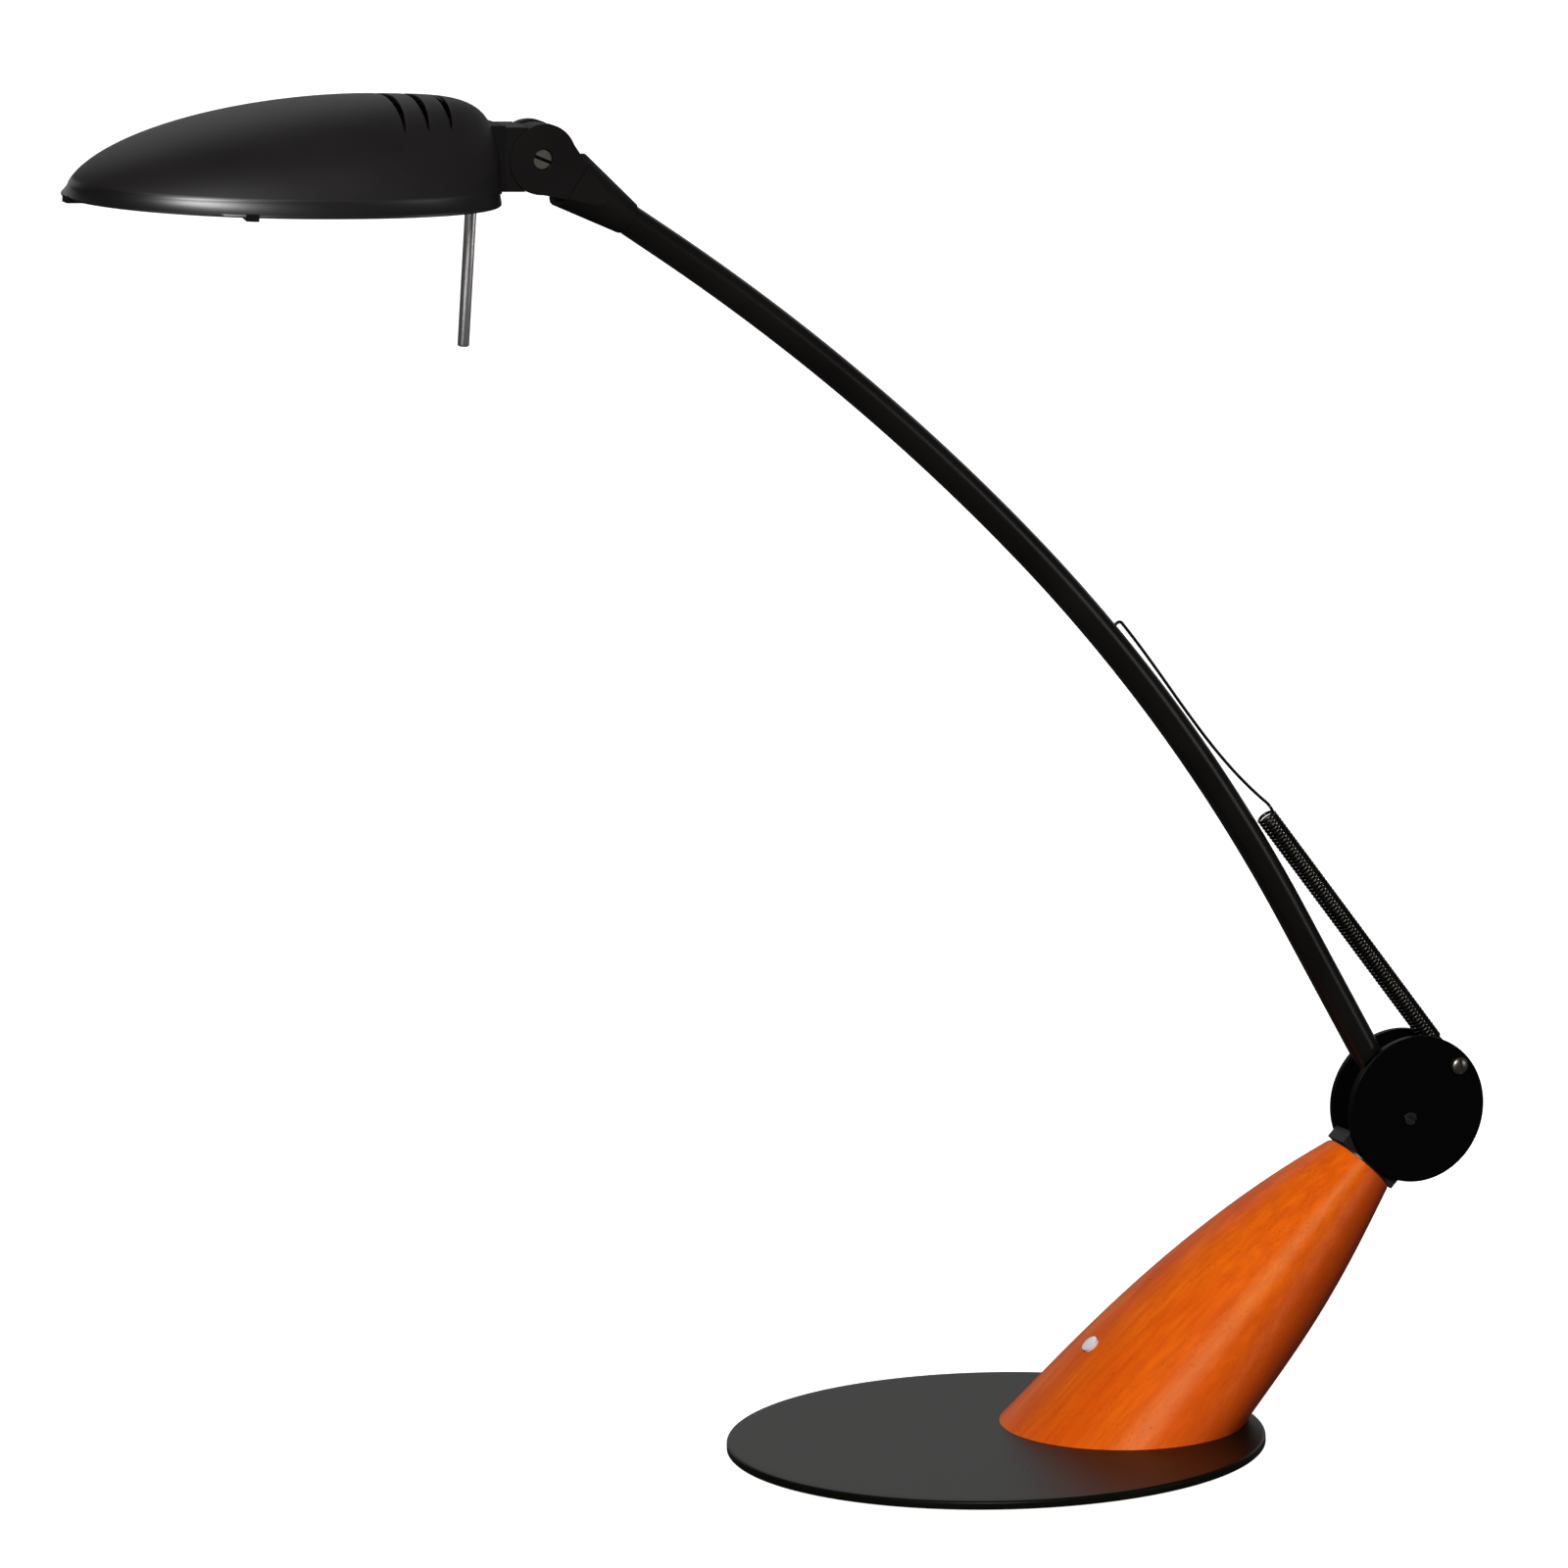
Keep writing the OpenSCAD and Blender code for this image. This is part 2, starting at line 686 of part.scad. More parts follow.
module arm_tube() {
    color("#1d1c1b") difference() {
        arm_bar(tube_d, 0);
        arm_bar(tube_d - 2 * tube_wall, cut);
        translate(hook_point) rotate([0, hook_angle, 0]) translate([0, 0, -2 * tube_wall])
            cylinder(d = hook_hole, h = 2 * tube_wall + cut);
    }
}

// Points of the spring in its own frame: X away from the arm, Z up the coil, from anchor loop to hook
hook_local = [(hook_point - anchor) * coil_side, 0, (hook_point - anchor) * coil_axis];
hook_n = [hook_out * coil_side, 0, hook_out * coil_axis];
hook_t = [-hook_n[2], 0, hook_n[0]];
hook_rise = 0.9;
hook_in = 3;
function coil_at(turned) =
    let (a = lead_in + turned)
    [coil_r * cos(a), coil_r * sin(a), coil_start + coil_l * turned / coil_sweep];
function coil_heading(a) = [-sin(a), cos(a), 0];
loop_start = [-loop_r, 0, 2 * wire_d];
lead_low = [loop_r, 0, coil_start - lead_l];
lead_high = [coil_r, 0, coil_top + lead_l];
bend_mid = hook_local + (hook_rise * hook_n) - hook_bend * hook_t;
leg_end = bend_mid + hook_bend * hook_n;
spring_path = concat(
    [loop_start, [-loop_r, 0, wire_d]],
    [for (a = [180 : 30 : 360]) loop_r * [cos(a), 0, sin(a)]],
    [[loop_r, 0, (coil_start - lead_l) / 2]],
    [for (t = [0 : 0.2 : 0.81]) bezier(lead_low, lead_low + [0, 0, lead_ease],
        coil_at(0) - lead_pull * coil_heading(lead_in), coil_at(0), t)],
    [for (a = [0 : 360 / coil_steps : coil_sweep - 1]) coil_at(a)],
    [for (t = [0 : 0.2 : 0.81]) bezier(
        coil_at(coil_sweep), coil_at(coil_sweep) + lead_pull * coil_heading(-lead_in),
        lead_high - [0, 0, lead_ease], lead_high, t)],
    [for (t = [0 : 1 / 8 : 0.9]) lead_high + t * (leg_end - lead_high)],
    [for (a = [0 : 22.5 : 90]) bend_mid + hook_bend * (cos(a) * hook_n + sin(a) * hook_t)],
    [hook_local - hook_in / 2 * hook_n, hook_local - hook_in * hook_n]
);
neighbours = 5;

module balance_spring() {
    gap = min([
        for (i = [0 : len(spring_path) - 1 - neighbours])
        for (j = [i + neighbours : len(spring_path) - 1])
        norm(spring_path[i] - spring_path[j])
    ]) - wire_d;
    echo("least gap of the spring to itself", gap);
    color("#33302c") translate(anchor) rotate([0, -atan2(-coil_axis[0], coil_axis[2]), 0])
        tube(spring_path, wire_d, 6);
}

// The fork's outline, in its own frame with +X down the arm: a circle and its flanks down to the sleeve
module fork_outline() {
    shoulder = (cheek_r - part_gap) * [cos(fork_turn), sin(fork_turn)];
    circle(r = cheek_r);
    polygon([shoulder, [fork_l, fork_end], [fork_l, -fork_end], [shoulder[0], -shoulder[1]]]);
}

shank_l = 21;
module head_fork() {
    color("#1c1b1a") at_fork() difference() {
        union() {
            rotate([90, 0, 0]) linear_extrude(fork_w, center = true) fork_outline();
            pin_x(shank_d, fork_l - cut, fork_l + shank_l);
        }
        translate([-2 * cheek_r, -fork_slot / 2, -cheek_r - cut])
            cube([2 * cheek_r + web_from, fork_slot, 2 * cheek_r + 2 * cut]);
        pin_x(tie_bore, cheek_r / 2, fork_l + shank_l + cut);
        pin_y(hinge_d + 2 * run_gap, -fork_w, fork_w);
        pin_y(hinge_head + 2 * part_gap, -fork_w, hinge_face + hinge_head_h);
    }
}

module arm_sleeve() {
    color("#1d1c1b") at_fork() translate([fork_l, 0, 0]) difference() {
        intersection() {
            rotate([0, 90, 0]) cylinder(d1 = sleeve_d, d2 = sleeve_end_d, h = sleeve_l);
            translate([-cut, -sleeve_flat / 2, -sleeve_d])
                cube([sleeve_l + 2 * cut, sleeve_flat, 2 * sleeve_d]);
        }
        pin_x(tube_d + 2 * run_gap, -cut, sleeve_l + cut);
    }
}

hinge_slot_turn = 25;
module hinge_screw() {
    color("#8d877c") at_fork() {
        slotted(hinge_head, hinge_face, hinge_face + hinge_head_h, hinge_slot_turn - tip_angle);
        pin_y(hinge_d, hinge_face + hinge_head_h / 2 + screw_slot_depth / 2, fork_w / 2 + nut_h + bolt_past);
    }
}

module hinge_nut() { color("#57544f") at_fork() hex_nut(hinge_d, fork_w / 2); }

module hinge_washers() {
    color("whitesmoke") at_fork() for (side = [0, 1]) mirror([0, side, 0])
        along_y(fork_slot / 2 - washer_t, fork_slot / 2) difference() {
            circle(r = cheek_r / 2);
            circle(d = hinge_d + 2 * run_gap);
        }
}

// The neck's tongue turns between the cheeks, and its block is hollowed round them
module head_neck() {
    lobe = cheek_r + part_gap;
    color("#1c1b1a") at_shade() difference() {
        union() {
            difference() {
                translate([gasket_t, -fork_w / 2, hinge_up - neck_h / 2])
                    cube([hinge_back - gasket_t - cheek_r / 2, fork_w, neck_h]);
                for (side = [0, 1]) mirror([0, side, 0]) translate([hinge_back, 0, hinge_up])
                    pin_y(2 * lobe, tongue_w / 2, fork_w);
            }
            translate([gasket_t, -tongue_w / 2, hinge_up - neck_h / 2])
                cube([hinge_back - gasket_t, tongue_w, neck_h]);
            translate([hinge_back, 0, hinge_up]) pin_y(2 * tongue_r, -tongue_w / 2, tongue_w / 2);
        }
        translate([hinge_back, 0, hinge_up]) pin_y(hinge_d + 2 * run_gap, -fork_w, fork_w);
        neck_holes(hinge_back / 2 + part_gap);
    }
}

// Holes for the two screws that hold the neck to the shade, up to a distance behind its rear
module neck_holes(to) {
    for (side = [-1, 1]) translate([0, 0, hinge_up + side * neck_screw_rise])
        pin_x(neck_screw_d + 2 * run_gap, bracket_from - cut, to);
}

module neck_gasket() {
    color("#262524") at_shade() difference() {
        translate([-gasket_deep, -fork_w / 2 - gasket_over, hinge_up - neck_h / 2 - gasket_over])
            cube([gasket_deep + gasket_t, fork_w + 2 * gasket_over, neck_h + 2 * gasket_over]);
        shade_solid(run_gap, lip_out);
        neck_holes(gasket_t + cut);
    }
}

module neck_screws() {
    color("silver") at_shade() for (side = [-1, 1]) translate([0, 0, hinge_up + side * neck_screw_rise]) {
        pin_x(neck_screw_d, bracket_from - cut / 2, hinge_back / 2);
        pin_x(2 * neck_screw_d, bracket_from - neck_head_h, bracket_from);
    }
}

// The shade's outline seen from above, as two joined ovals, and the height of its dome
function shade_edge(a, grow) =
    let (front = cos(a) < 0, power = 2 / (front ? tip_power : rear_power),
        reach = (front ? shade_l - shade_wide : shade_wide) + grow)
    [-shade_wide + reach * sign(cos(a)) * pow(abs(cos(a)), power),
        (shade_w / 2 + grow) * sign(sin(a)) * pow(abs(sin(a)), power)];
function shade_half(x, grow) =
    let (front = x < -shade_wide, power = front ? tip_power : rear_power,
        reach = (front ? shade_l - shade_wide : shade_wide) + grow)
    (shade_w / 2 + grow) * oval(abs(x + shade_wide) / reach, power);
function shade_ridge(x, grow) =
    let (front = x < -shade_crown, power = front ? nose_power : tail_power,
        reach = (front ? shade_l - shade_crown : shade_crown) + grow)
    (shade_h + grow) * oval(abs(x + shade_crown) / reach, power);
function oval(share, power) = pow(max(0, 1 - pow(min(share, 1), power)), 1 / power);
function dome(x, y, grow) = shade_ridge(x, grow) * oval(abs(y) / max(shade_half(x, grow), 0.01), dome_power);
function rim_ring(z, grow) = [
    for (k = [0 : shade_sides - 1]) concat(shade_edge(-360 * k / shade_sides, grow), z)
];
function dome_ring(level, grow) = [
    for (k = [0 : shade_sides - 1])
    let (p = shade_mid + level * (shade_edge(-360 * k / shade_sides, grow) - shade_mid),
        flat = level < shade_levels[len(shade_levels) - 2])
    concat(p, flat ? dome(shade_mid[0], 0, grow) : dome(p[0], p[1], grow))
];
function dome_rings(grow) = [for (i = [len(shade_levels) - 1 : -1 : 0]) dome_ring(shade_levels[i], grow)];

// The flared rim: a hollow quarter turn from the lowest ring of the dome out to the edge
function flare_ring(turn, grow, lip) =
    let (inside = dome_ring(shade_levels[0], grow), edge = rim_ring(lip_edge, grow + lip))
    [for (k = [0 : shade_sides - 1])
        let (step = edge[k] - inside[k], out = 1 - cos(turn))
        inside[k] + [step[0] * out, step[1] * out, step[2] * sin(turn)]];
function lip_rings(grow, lip) = concat(
    [for (turn = flare_turns) flare_ring(turn, grow, lip)], [rim_ring(0, grow + lip)]);

// The shade filled up to its rim, grown by a distance
module shade_solid(grow, lip) {
    loft(concat(dome_rings(grow), lip_rings(grow, lip)));
}

module shade() {
    inner = -shade_wall;
    color("#211f1e") at_shade() difference() {
        loft(concat(dome_rings(0), lip_rings(0, lip_out), [rim_ring(0, inner), rim_ring(rim_h, inner)],
            [for (level = shade_levels) dome_ring(level, inner)]));
        for (i = [0 : slot_count - 1]) vent_slot(-slot_first - i * slot_pitch);
        neck_holes(gasket_t);
    }
}

// A crescent that crosses the ridge and sweeps towards the nose on both sides
module vent_slot(x) {
    reach = slot_share * shade_half(x, 0);
    last = slot_steps - 1;
    front = [for (i = [-slot_steps : slot_steps]) slot_point(x, reach, i / slot_steps, -slot_w / 2)];
    back = [for (i = [last : -1 : -last]) slot_point(x, reach, i / slot_steps, slot_w / 2)];
    translate([0, 0, shade_h / 2]) linear_extrude(shade_h) polygon(concat(front, back));
}
function slot_point(x, reach, s, half) = [x - slot_sweep * reach * s * s + half * (1 - s * s), reach * s];

module shade_bracket() {
    color("gray") at_shade() difference() {
        intersection() {
            translate([bracket_from, -bracket_half, bracket_z[0]])
                cube([-bracket_from, 2 * bracket_half, bracket_z[1] - bracket_z[0]]);
            shade_solid(-shade_wall - part_gap, 0);
        }
        neck_holes(cut);
        translate([rod_x, 0, bracket_z[0] - cut])
            cylinder(d = rod_d + 2 * run_gap, h = rod_in - bracket_z[0] + cut + run_gap);
    }
}

module handle_rod() {
    bevel = 0.5;
    color("gainsboro") at_shade() translate([rod_x, 0, -rod_l]) {
        cylinder(d1 = rod_d - 2 * bevel, d2 = rod_d, h = bevel);
        translate([0, 0, bevel]) cylinder(d = rod_d, h = rod_l + rod_in - bevel);
    }
}

// The inside of the rim as a flat outline, cut off short of the bracket
module inner_outline(gap) {
    difference() {
        polygon([for (k = [0 : shade_sides - 1]) shade_edge(360 * k / shade_sides, -shade_wall - gap)]);
        translate([pan_end, -shade_w]) square([2 * shade_w, 2 * shade_w]);
    }
}

// The reflector bowl's radius at a share of its height
function bowl_at(share) = bowl_r - (bowl_r - bowl_top_r) * share * share;
bowl_steps = 8;
bowl_shares = [for (i = [0 : bowl_steps]) i / bowl_steps];

module reflector() {
    color("#d8d8d4") at_shade() difference() {
        union() {
            translate([0, 0, pan_z]) linear_extrude(pan_t) difference() {
                inner_outline(pan_gap);
                translate([bowl_x, 0]) circle(r = bowl_r - bowl_wall / 2);
            }
            translate([bowl_x, 0, pan_z + pan_t / 2]) rotate_extrude() polygon(concat(
                [for (s = bowl_shares) [bowl_at(s), bowl_h * s]], [[0, bowl_h], [0, bowl_h - bowl_wall]],
                [for (s = [1 : -1 / bowl_steps : 0]) [bowl_at(s) - bowl_wall, (bowl_h - bowl_wall) * s]]));
        }
        translate([0, 0, bulb_z]) pin_x(bulb_d + bulb_room, bowl_x, holder_x + holder_size[0]);
    }
}

module lamp_holder() {
    color("ivory") at_shade() difference() {
        translate([holder_x, -holder_size[1] / 2, holder_z]) cube(holder_size);
        translate([holder_x - cut, -bulb_neck / 2 - run_gap, bulb_z - bulb_neck / 4 - run_gap])
            cube([bulb_pins + cut, bulb_neck + 2 * run_gap, bulb_neck / 2 + 2 * run_gap]);
    }
}

module holder_post() {
    color("gray") at_shade() translate([holder_x + bulb_pins, -holder_size[1] / 2, pan_z + pan_t])
        cube([holder_size[0] - bulb_pins, holder_size[1], holder_rise]);
}

module bulb() {
    color("azure") at_shade() translate([holder_x, 0, bulb_z]) {
        translate([-bulb_neck, -bulb_neck / 2, -bulb_neck / 4])
            cube([bulb_neck + bulb_pins - part_gap, bulb_neck, bulb_neck / 2]);
        pin_x(bulb_d, -bulb_l + bulb_d / 2, -bulb_neck + bulb_lap);
        translate([-bulb_l + bulb_d / 2, 0, 0]) sphere(d = bulb_d);
    }
}

module front_glass() {
    color("lightcyan", 0.4) at_shade() linear_extrude(glass_t) inner_outline(part_gap);
}

// Spring clips that reach round the edge of the rim and hold the glass
module glass_clips() {
    color("#1c1b1a") at_shade() for (a = clip_angles) {
        p = shade_edge(a, 0);
        run = shade_edge(a + 1, 0) - shade_edge(a - 1, 0);
        translate([p[0], p[1], 0]) rotate([0, 0, atan2(-run[0], run[1])]) {
            translate([-clip_in, -clip_w / 2, -clip_t])
                cube([clip_in + lip_out + part_gap + clip_wall, clip_w, clip_t]);
            translate([lip_out + part_gap, -clip_w / 2, -clip_t]) cube([clip_wall, clip_w, clip_t + clip_up]);
        }
    }
}

base_pad();
base_plate();
foot_screws();
foot();
transformer_core();
transformer_coil();
transformer_screws();
switch_body();
switch_button();
cord_gland();
tie_tube();
top_collar();
pivot_bracket();
front_disc();
rear_disc();
disc_rivets();
pivot_bolt();
pivot_nut();
pivot_washers();
anchor_screw();
anchor_nut();
arm_eye();
arm_tube();
balance_spring();
arm_sleeve();
head_fork();
hinge_screw();
hinge_nut();
hinge_washers();
head_neck();
neck_gasket();
neck_screws();
shade();
shade_bracket();
handle_rod();
reflector();
lamp_holder();
holder_post();
bulb();
front_glass();
glass_clips();
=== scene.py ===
"""Looks of the desk lamp: smooth plate, foot, arm, spring and shade, materials, light and camera."""

import math

import bmesh
import bpy
import numpy as np
from mathutils import Matrix, Vector


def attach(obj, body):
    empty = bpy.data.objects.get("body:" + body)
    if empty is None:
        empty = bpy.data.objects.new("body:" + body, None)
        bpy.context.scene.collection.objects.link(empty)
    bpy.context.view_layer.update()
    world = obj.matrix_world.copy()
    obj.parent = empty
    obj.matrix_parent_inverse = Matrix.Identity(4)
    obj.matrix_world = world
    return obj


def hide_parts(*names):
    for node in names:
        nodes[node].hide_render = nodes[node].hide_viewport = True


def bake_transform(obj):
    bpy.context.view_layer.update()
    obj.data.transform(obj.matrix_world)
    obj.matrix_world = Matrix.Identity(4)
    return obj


MM = 0.001
X_AXIS, Y_AXIS, Z_AXIS = np.eye(3)
SQUARE = ((-1, -1), (1, -1), (1, 1), (-1, 1))

# Sides of round pieces and holes, and how far a cutter reaches past the face that it opens
ROUND_SIDES, HOLE_SIDES, PAST = 64, 32, 1

# Sizes shared with the CAD source, in millimetres and degrees
BASE_R, PAD_T, PLATE_T, PLATE_EDGE = 105, 0.8, 3.4, 1.2
BASE_TOP = PAD_T + PLATE_T
FOOT_X, FOOT_RUN, FOOT_RISE, FOOT_BOW = 54.6, 103.7, 90.8, 4.7
FOOT_R, FOOT_BELLY, FOOT_TOP_R, FOOT_SPREAD = 47.6, 35.2, 14.8, 0.07
FOOT_LEAN, LEAN_POWER = 45, 1.25
POCKET, POCKET_SHIFT = np.array([34, 44, 30]), 19.6
TIE_R, TIE_DEPTH = 4.05, 40
BUTTON_PLACE, BUTTON_HOLE_R, SWITCH_HOLE_R, SWITCH_SEAT, SWITCH_ROOM = 0.26, 3.8, 6.2, 5.5, 20
GLAND_RISE, GLAND_WALL, GLAND_R, GLAND_FLANGE_R = 8, 10, 4.05, 6.3
PIVOT_REACH, DISC_REACH, DISC_OUT = 25.7, 30.4, 9.65
ANCHOR_REACH, ANCHOR_ANGLE, ANCHOR_D, ANCHOR_HEAD, ANCHOR_HEAD_H, ANCHOR_END = 24, 40.5, 4, 7, 2.4, 13.25
SCREW_SLOT_W, SCREW_SLOT_DEPTH, ANCHOR_SLOT_TURN = 1.2, 0.8, 80
TUBE_D, TUBE_WALL, TUBE_START = 12, 1, 8
ARM_ANGLE, ARM_STRAIGHT, ARM_TIP = 61.7, 96.8, 45
BENDS = ((750, 14.7), (1015, 11.3))
HINGE_REACH = 19
WIRE_D, COIL_START = 1.1, 11
HOOK_PLACE, HOOK_BEND, HOOK_RISE, HOOK_IN, HOOK_ROOM = 239, 1.6, 0.9, 3, 0.4
LEAD_IN, LEAD_L, LEAD_EASE, LEAD_PULL, LOOP_GAP = 60, 3.2, 2, 1.5, 0.3
SHADE_L, SHADE_W, SHADE_H, SHADE_WIDE, SHADE_CROWN = 170.2, 105, 39.7, 86.7, 47.8
SHADE_WALL, SHADE_PITCH, HINGE_BACK, HINGE_UP = 1.5, 4.8, 17.9, 16.1
RIM_H, LIP_EDGE, LIP_OUT = 3.8, 0.8, 1.2
SLOT_FIRST, SLOT_PITCH, SLOT_SHARE, SLOT_SWEEP, SLOT_COUNT = 25.2, 10.2, 0.684, 0.15, 3
TIP_POWER, REAR_POWER, NOSE_POWER, TAIL_POWER, DOME_POWER = 2.03, 2.19, 1.78, 4.6, 2.05
NECK_SCREW_RISE, NECK_SCREW_R = 6, 1.55
SHADE_MID = np.array([-80.0, 0.0])


def unit(v):
    return v / np.linalg.norm(v)


def sin(degrees):
    return math.sin(math.radians(degrees))


def cos(degrees):
    return math.cos(math.radians(degrees))


def quarter(step):
    """Angles of a quarter turn, both ends included."""
    return range(0, 90 + 1, step)


def along(angle):
    return np.array([-cos(angle), 0, sin(angle)])


def across(angle):
    return np.array([sin(angle), 0, cos(angle)])


def curve(a, b, c, t):
    return (1 - t) ** 2 * a + 2 * t * (1 - t) * b + t * t * c


def bezier(a, b, c, d, t):
    return (1 - t) * curve(a, b, c, t) + t * curve(b, c, d, t)


# Places in the lamp's frame
FOOT_TOP = np.array([FOOT_X + FOOT_RUN, 0, BASE_TOP + FOOT_RISE])
FOOT_AXIS = np.array([cos(FOOT_LEAN), 0, sin(FOOT_LEAN)])
PIVOT = FOOT_TOP + PIVOT_REACH * FOOT_AXIS
DISC_MID = FOOT_TOP + DISC_REACH * FOOT_AXIS
ANCHOR = DISC_MID + ANCHOR_REACH * np.array([cos(ANCHOR_ANGLE), 0, sin(ANCHOR_ANGLE)])


def arm_point(run):
    """The arm's centre line and its angle above the horizontal, at a length from the pivot."""
    at, angle = PIVOT, ARM_ANGLE
    if run <= ARM_STRAIGHT:
        return at + run * along(angle), angle
    at, run = at + ARM_STRAIGHT * along(angle), run - ARM_STRAIGHT
    for radius, turn in BENDS:
        middle = at - radius * across(angle)
        turned_by = min(turn, math.degrees(run / radius))
        angle -= turned_by
        at = middle + radius * across(angle)
        run -= math.radians(turned_by) * radius
    return at + run * along(angle), angle


ARM_L = ARM_STRAIGHT + sum(radius * math.radians(turn) for radius, turn in BENDS) + ARM_TIP
HINGE = arm_point(ARM_L + HINGE_REACH)[0]
SHADE_X = np.array([cos(SHADE_PITCH), 0, -sin(SHADE_PITCH)])
SHADE_Z = np.array([sin(SHADE_PITCH), 0, cos(SHADE_PITCH)])
SHADE_AT = HINGE - HINGE_BACK * SHADE_X - HINGE_UP * SHADE_Z


def new_object(name, points, faces):
    """A mesh object from points in millimetres."""
    mesh = bpy.data.meshes.new(name)
    mesh.from_pydata([tuple(MM * np.asarray(p)) for p in points], [], faces)
    mesh.validate()
    obj = bpy.data.objects.new(name, mesh)
    bpy.context.scene.collection.objects.link(obj)
    return obj


def loft(name, rings, closed=False):
    """A skin of quads through rings of equal length, with end caps or closed into a loop."""
    n, count = len(rings[0]), len(rings)
    points = [p for ring in rings for p in ring]
    faces = []
    for i in range(count if closed else count - 1):
        low, high = i * n, (i + 1) % count * n
        faces += [(low + j, low + (j + 1) % n, high + (j + 1) % n, high + j) for j in range(n)]
    if not closed:
        faces.append(tuple(reversed(range(n))))
        faces.append(tuple(range((count - 1) * n, count * n)))
    obj = new_object(name, points, faces)
    bm = bmesh.new()
    bm.from_mesh(obj.data)
    bmesh.ops.recalc_face_normals(bm, faces=bm.faces)
    bm.to_mesh(obj.data)
    bm.free()
    return obj


def smooth(obj, degrees=35):
    """Smooth shading with edges kept sharp above an angle."""
    bm = bmesh.new()
    bm.from_mesh(obj.data)
    for face in bm.faces:
        face.smooth = True
    for edge in bm.edges:
        edge.smooth = len(edge.link_faces) == 2 and edge.calc_face_angle(0) < math.radians(degrees)
    bm.to_mesh(obj.data)
    bm.free()


# Slanted directions that set where a ring starts
SWEEP_START, TURN_START = (0.3, 1, 0.2), (0.3, 0.2, 0.1)


def sweep(name, path, radius, sides, bore=None):
    """A round bar or tube along points, with frames carried from one point to the next."""
    heading = [unit(path[min(i + 1, len(path) - 1)] - path[max(i - 1, 0)]) for i in range(len(path))]
    side = unit(np.cross(heading[0], SWEEP_START))
    angles = [2 * math.pi * k / sides for k in range(sides)]
    rings = {r: [] for r in (radius, bore) if r}
    for at, forward in zip(path, heading):
        side = unit(side - forward * side.dot(forward))
        other = np.cross(forward, side)
        for r, ring in rings.items():
            ring.append([at + r * (math.cos(a) * side + math.sin(a) * other) for a in angles])
    if bore:
        return loft(name, rings[radius] + rings[bore][::-1], closed=True)
    return loft(name, rings[radius])


def turned(name, at, axis, profile, sides):
    """A round piece about an axis, from radii and distances along that axis."""
    side = unit(np.cross(axis, TURN_START))
    other = np.cross(axis, side)
    angles = [2 * math.pi * k / sides for k in range(sides)]
    return loft(name, [[at + h * axis + r * (math.cos(a) * side + math.sin(a) * other) for a in angles]
                       for r, h in profile])


def rod_between(name, start, end, radius, sides=ROUND_SIDES):
    return sweep(name, [np.asarray(start, float), np.asarray(end, float)], radius, sides)


def carve(obj, cutters):
    """Cuts closed meshes out of a piece for good."""
    for cutter in cutters:
        modifier = obj.modifiers.new("cut", "BOOLEAN")
        modifier.operation = "DIFFERENCE"
        modifier.solver = "MANIFOLD"
        modifier.object = cutter
    done = obj.evaluated_get(bpy.context.evaluated_depsgraph_get())
    mesh = bpy.data.meshes.new_from_object(done)
    obj.modifiers.clear()
    old = obj.data
    obj.data = mesh
    bpy.data.meshes.remove(old)
    mesh.name = obj.name
    mesh.materials.clear()
    for cutter in cutters:
        bpy.data.meshes.remove(cutter.data)


# Softened edges: a distance in metres, angles in degrees
WELD_GAP, FLAT_ANGLE, BEVEL_ANGLE, BEVEL_SEGMENTS = 1e-6, 0.5, 40, 3


def soften(obj, width):
    """Rounds the sharp edges of a CAD piece, whose faces come apart at their edges."""
    obj.modifiers.new("weld", "WELD").merge_threshold = WELD_GAP
    flat = obj.modifiers.new("flat", "DECIMATE")
    flat.decimate_type = "DISSOLVE"
    flat.angle_limit = math.radians(FLAT_ANGLE)
    bevel = obj.modifiers.new("edges", "BEVEL")
    bevel.width = MM * width
    bevel.segments = BEVEL_SEGMENTS
    bevel.limit_method = "ANGLE"
    bevel.angle_limit = math.radians(BEVEL_ANGLE)
    bevel.harden_normals = True


# The plate: rings on its flat top, the small edge of its underside, and steps of its rolled edge
PLATE_RINGS, PLATE_LOW_EDGE, PLATE_SIDES, PLATE_STEP = (20, 50, 80, 100), 0.3, 256, 10


def make_plate():
    """The round plate with its rolled edge."""
    middle = BASE_R - PLATE_EDGE
    edge = [(middle + PLATE_EDGE * sin(a), BASE_TOP - PLATE_EDGE + PLATE_EDGE * cos(a))
            for a in quarter(PLATE_STEP)]
    profile = [(r, BASE_TOP) for r in PLATE_RINGS] + edge
    profile += [(BASE_R, PAD_T + PLATE_LOW_EDGE), (BASE_R - PLATE_LOW_EDGE, PAD_T)]
    plate = turned("plate_top", np.zeros(3), Z_AXIS, profile, PLATE_SIDES)
    smooth(plate)
    return plate


# The foot: leaning circles from the plate to the top end, where the last ones are inset to round its edge
FOOT_RINGS, FOOT_SIDES = 120, 192
FOOT_END = ((0.9965, 0.0), (0.999, 0.14), (1.0, 0.5))
RIDGE_STEP, BUTTON_PAST, FLANGE_PAST = 0.01, 3, 30


def foot_frame(t):
    start = np.array([FOOT_X, 0, BASE_TOP])
    middle = np.array([FOOT_X + FOOT_RUN / 2, 0, BASE_TOP + FOOT_RISE / 2 + FOOT_BOW])
    lean = 90 + (FOOT_LEAN - 90) * t ** LEAN_POWER
    return curve(start, middle, FOOT_TOP, t), curve(FOOT_R, FOOT_BELLY, FOOT_TOP_R, t), lean


def foot_ring(t, inset=0.0):
    mid, radius, lean = foot_frame(t)
    up = np.array([-sin(lean), 0, cos(lean)])
    wide = 1 + FOOT_SPREAD * (1 - t)
    angles = [2 * math.pi * k / FOOT_SIDES for k in range(FOOT_SIDES)]
    return [mid + (radius - inset) * (math.cos(a) * up - wide * math.sin(a) * Y_AXIS) for a in angles]


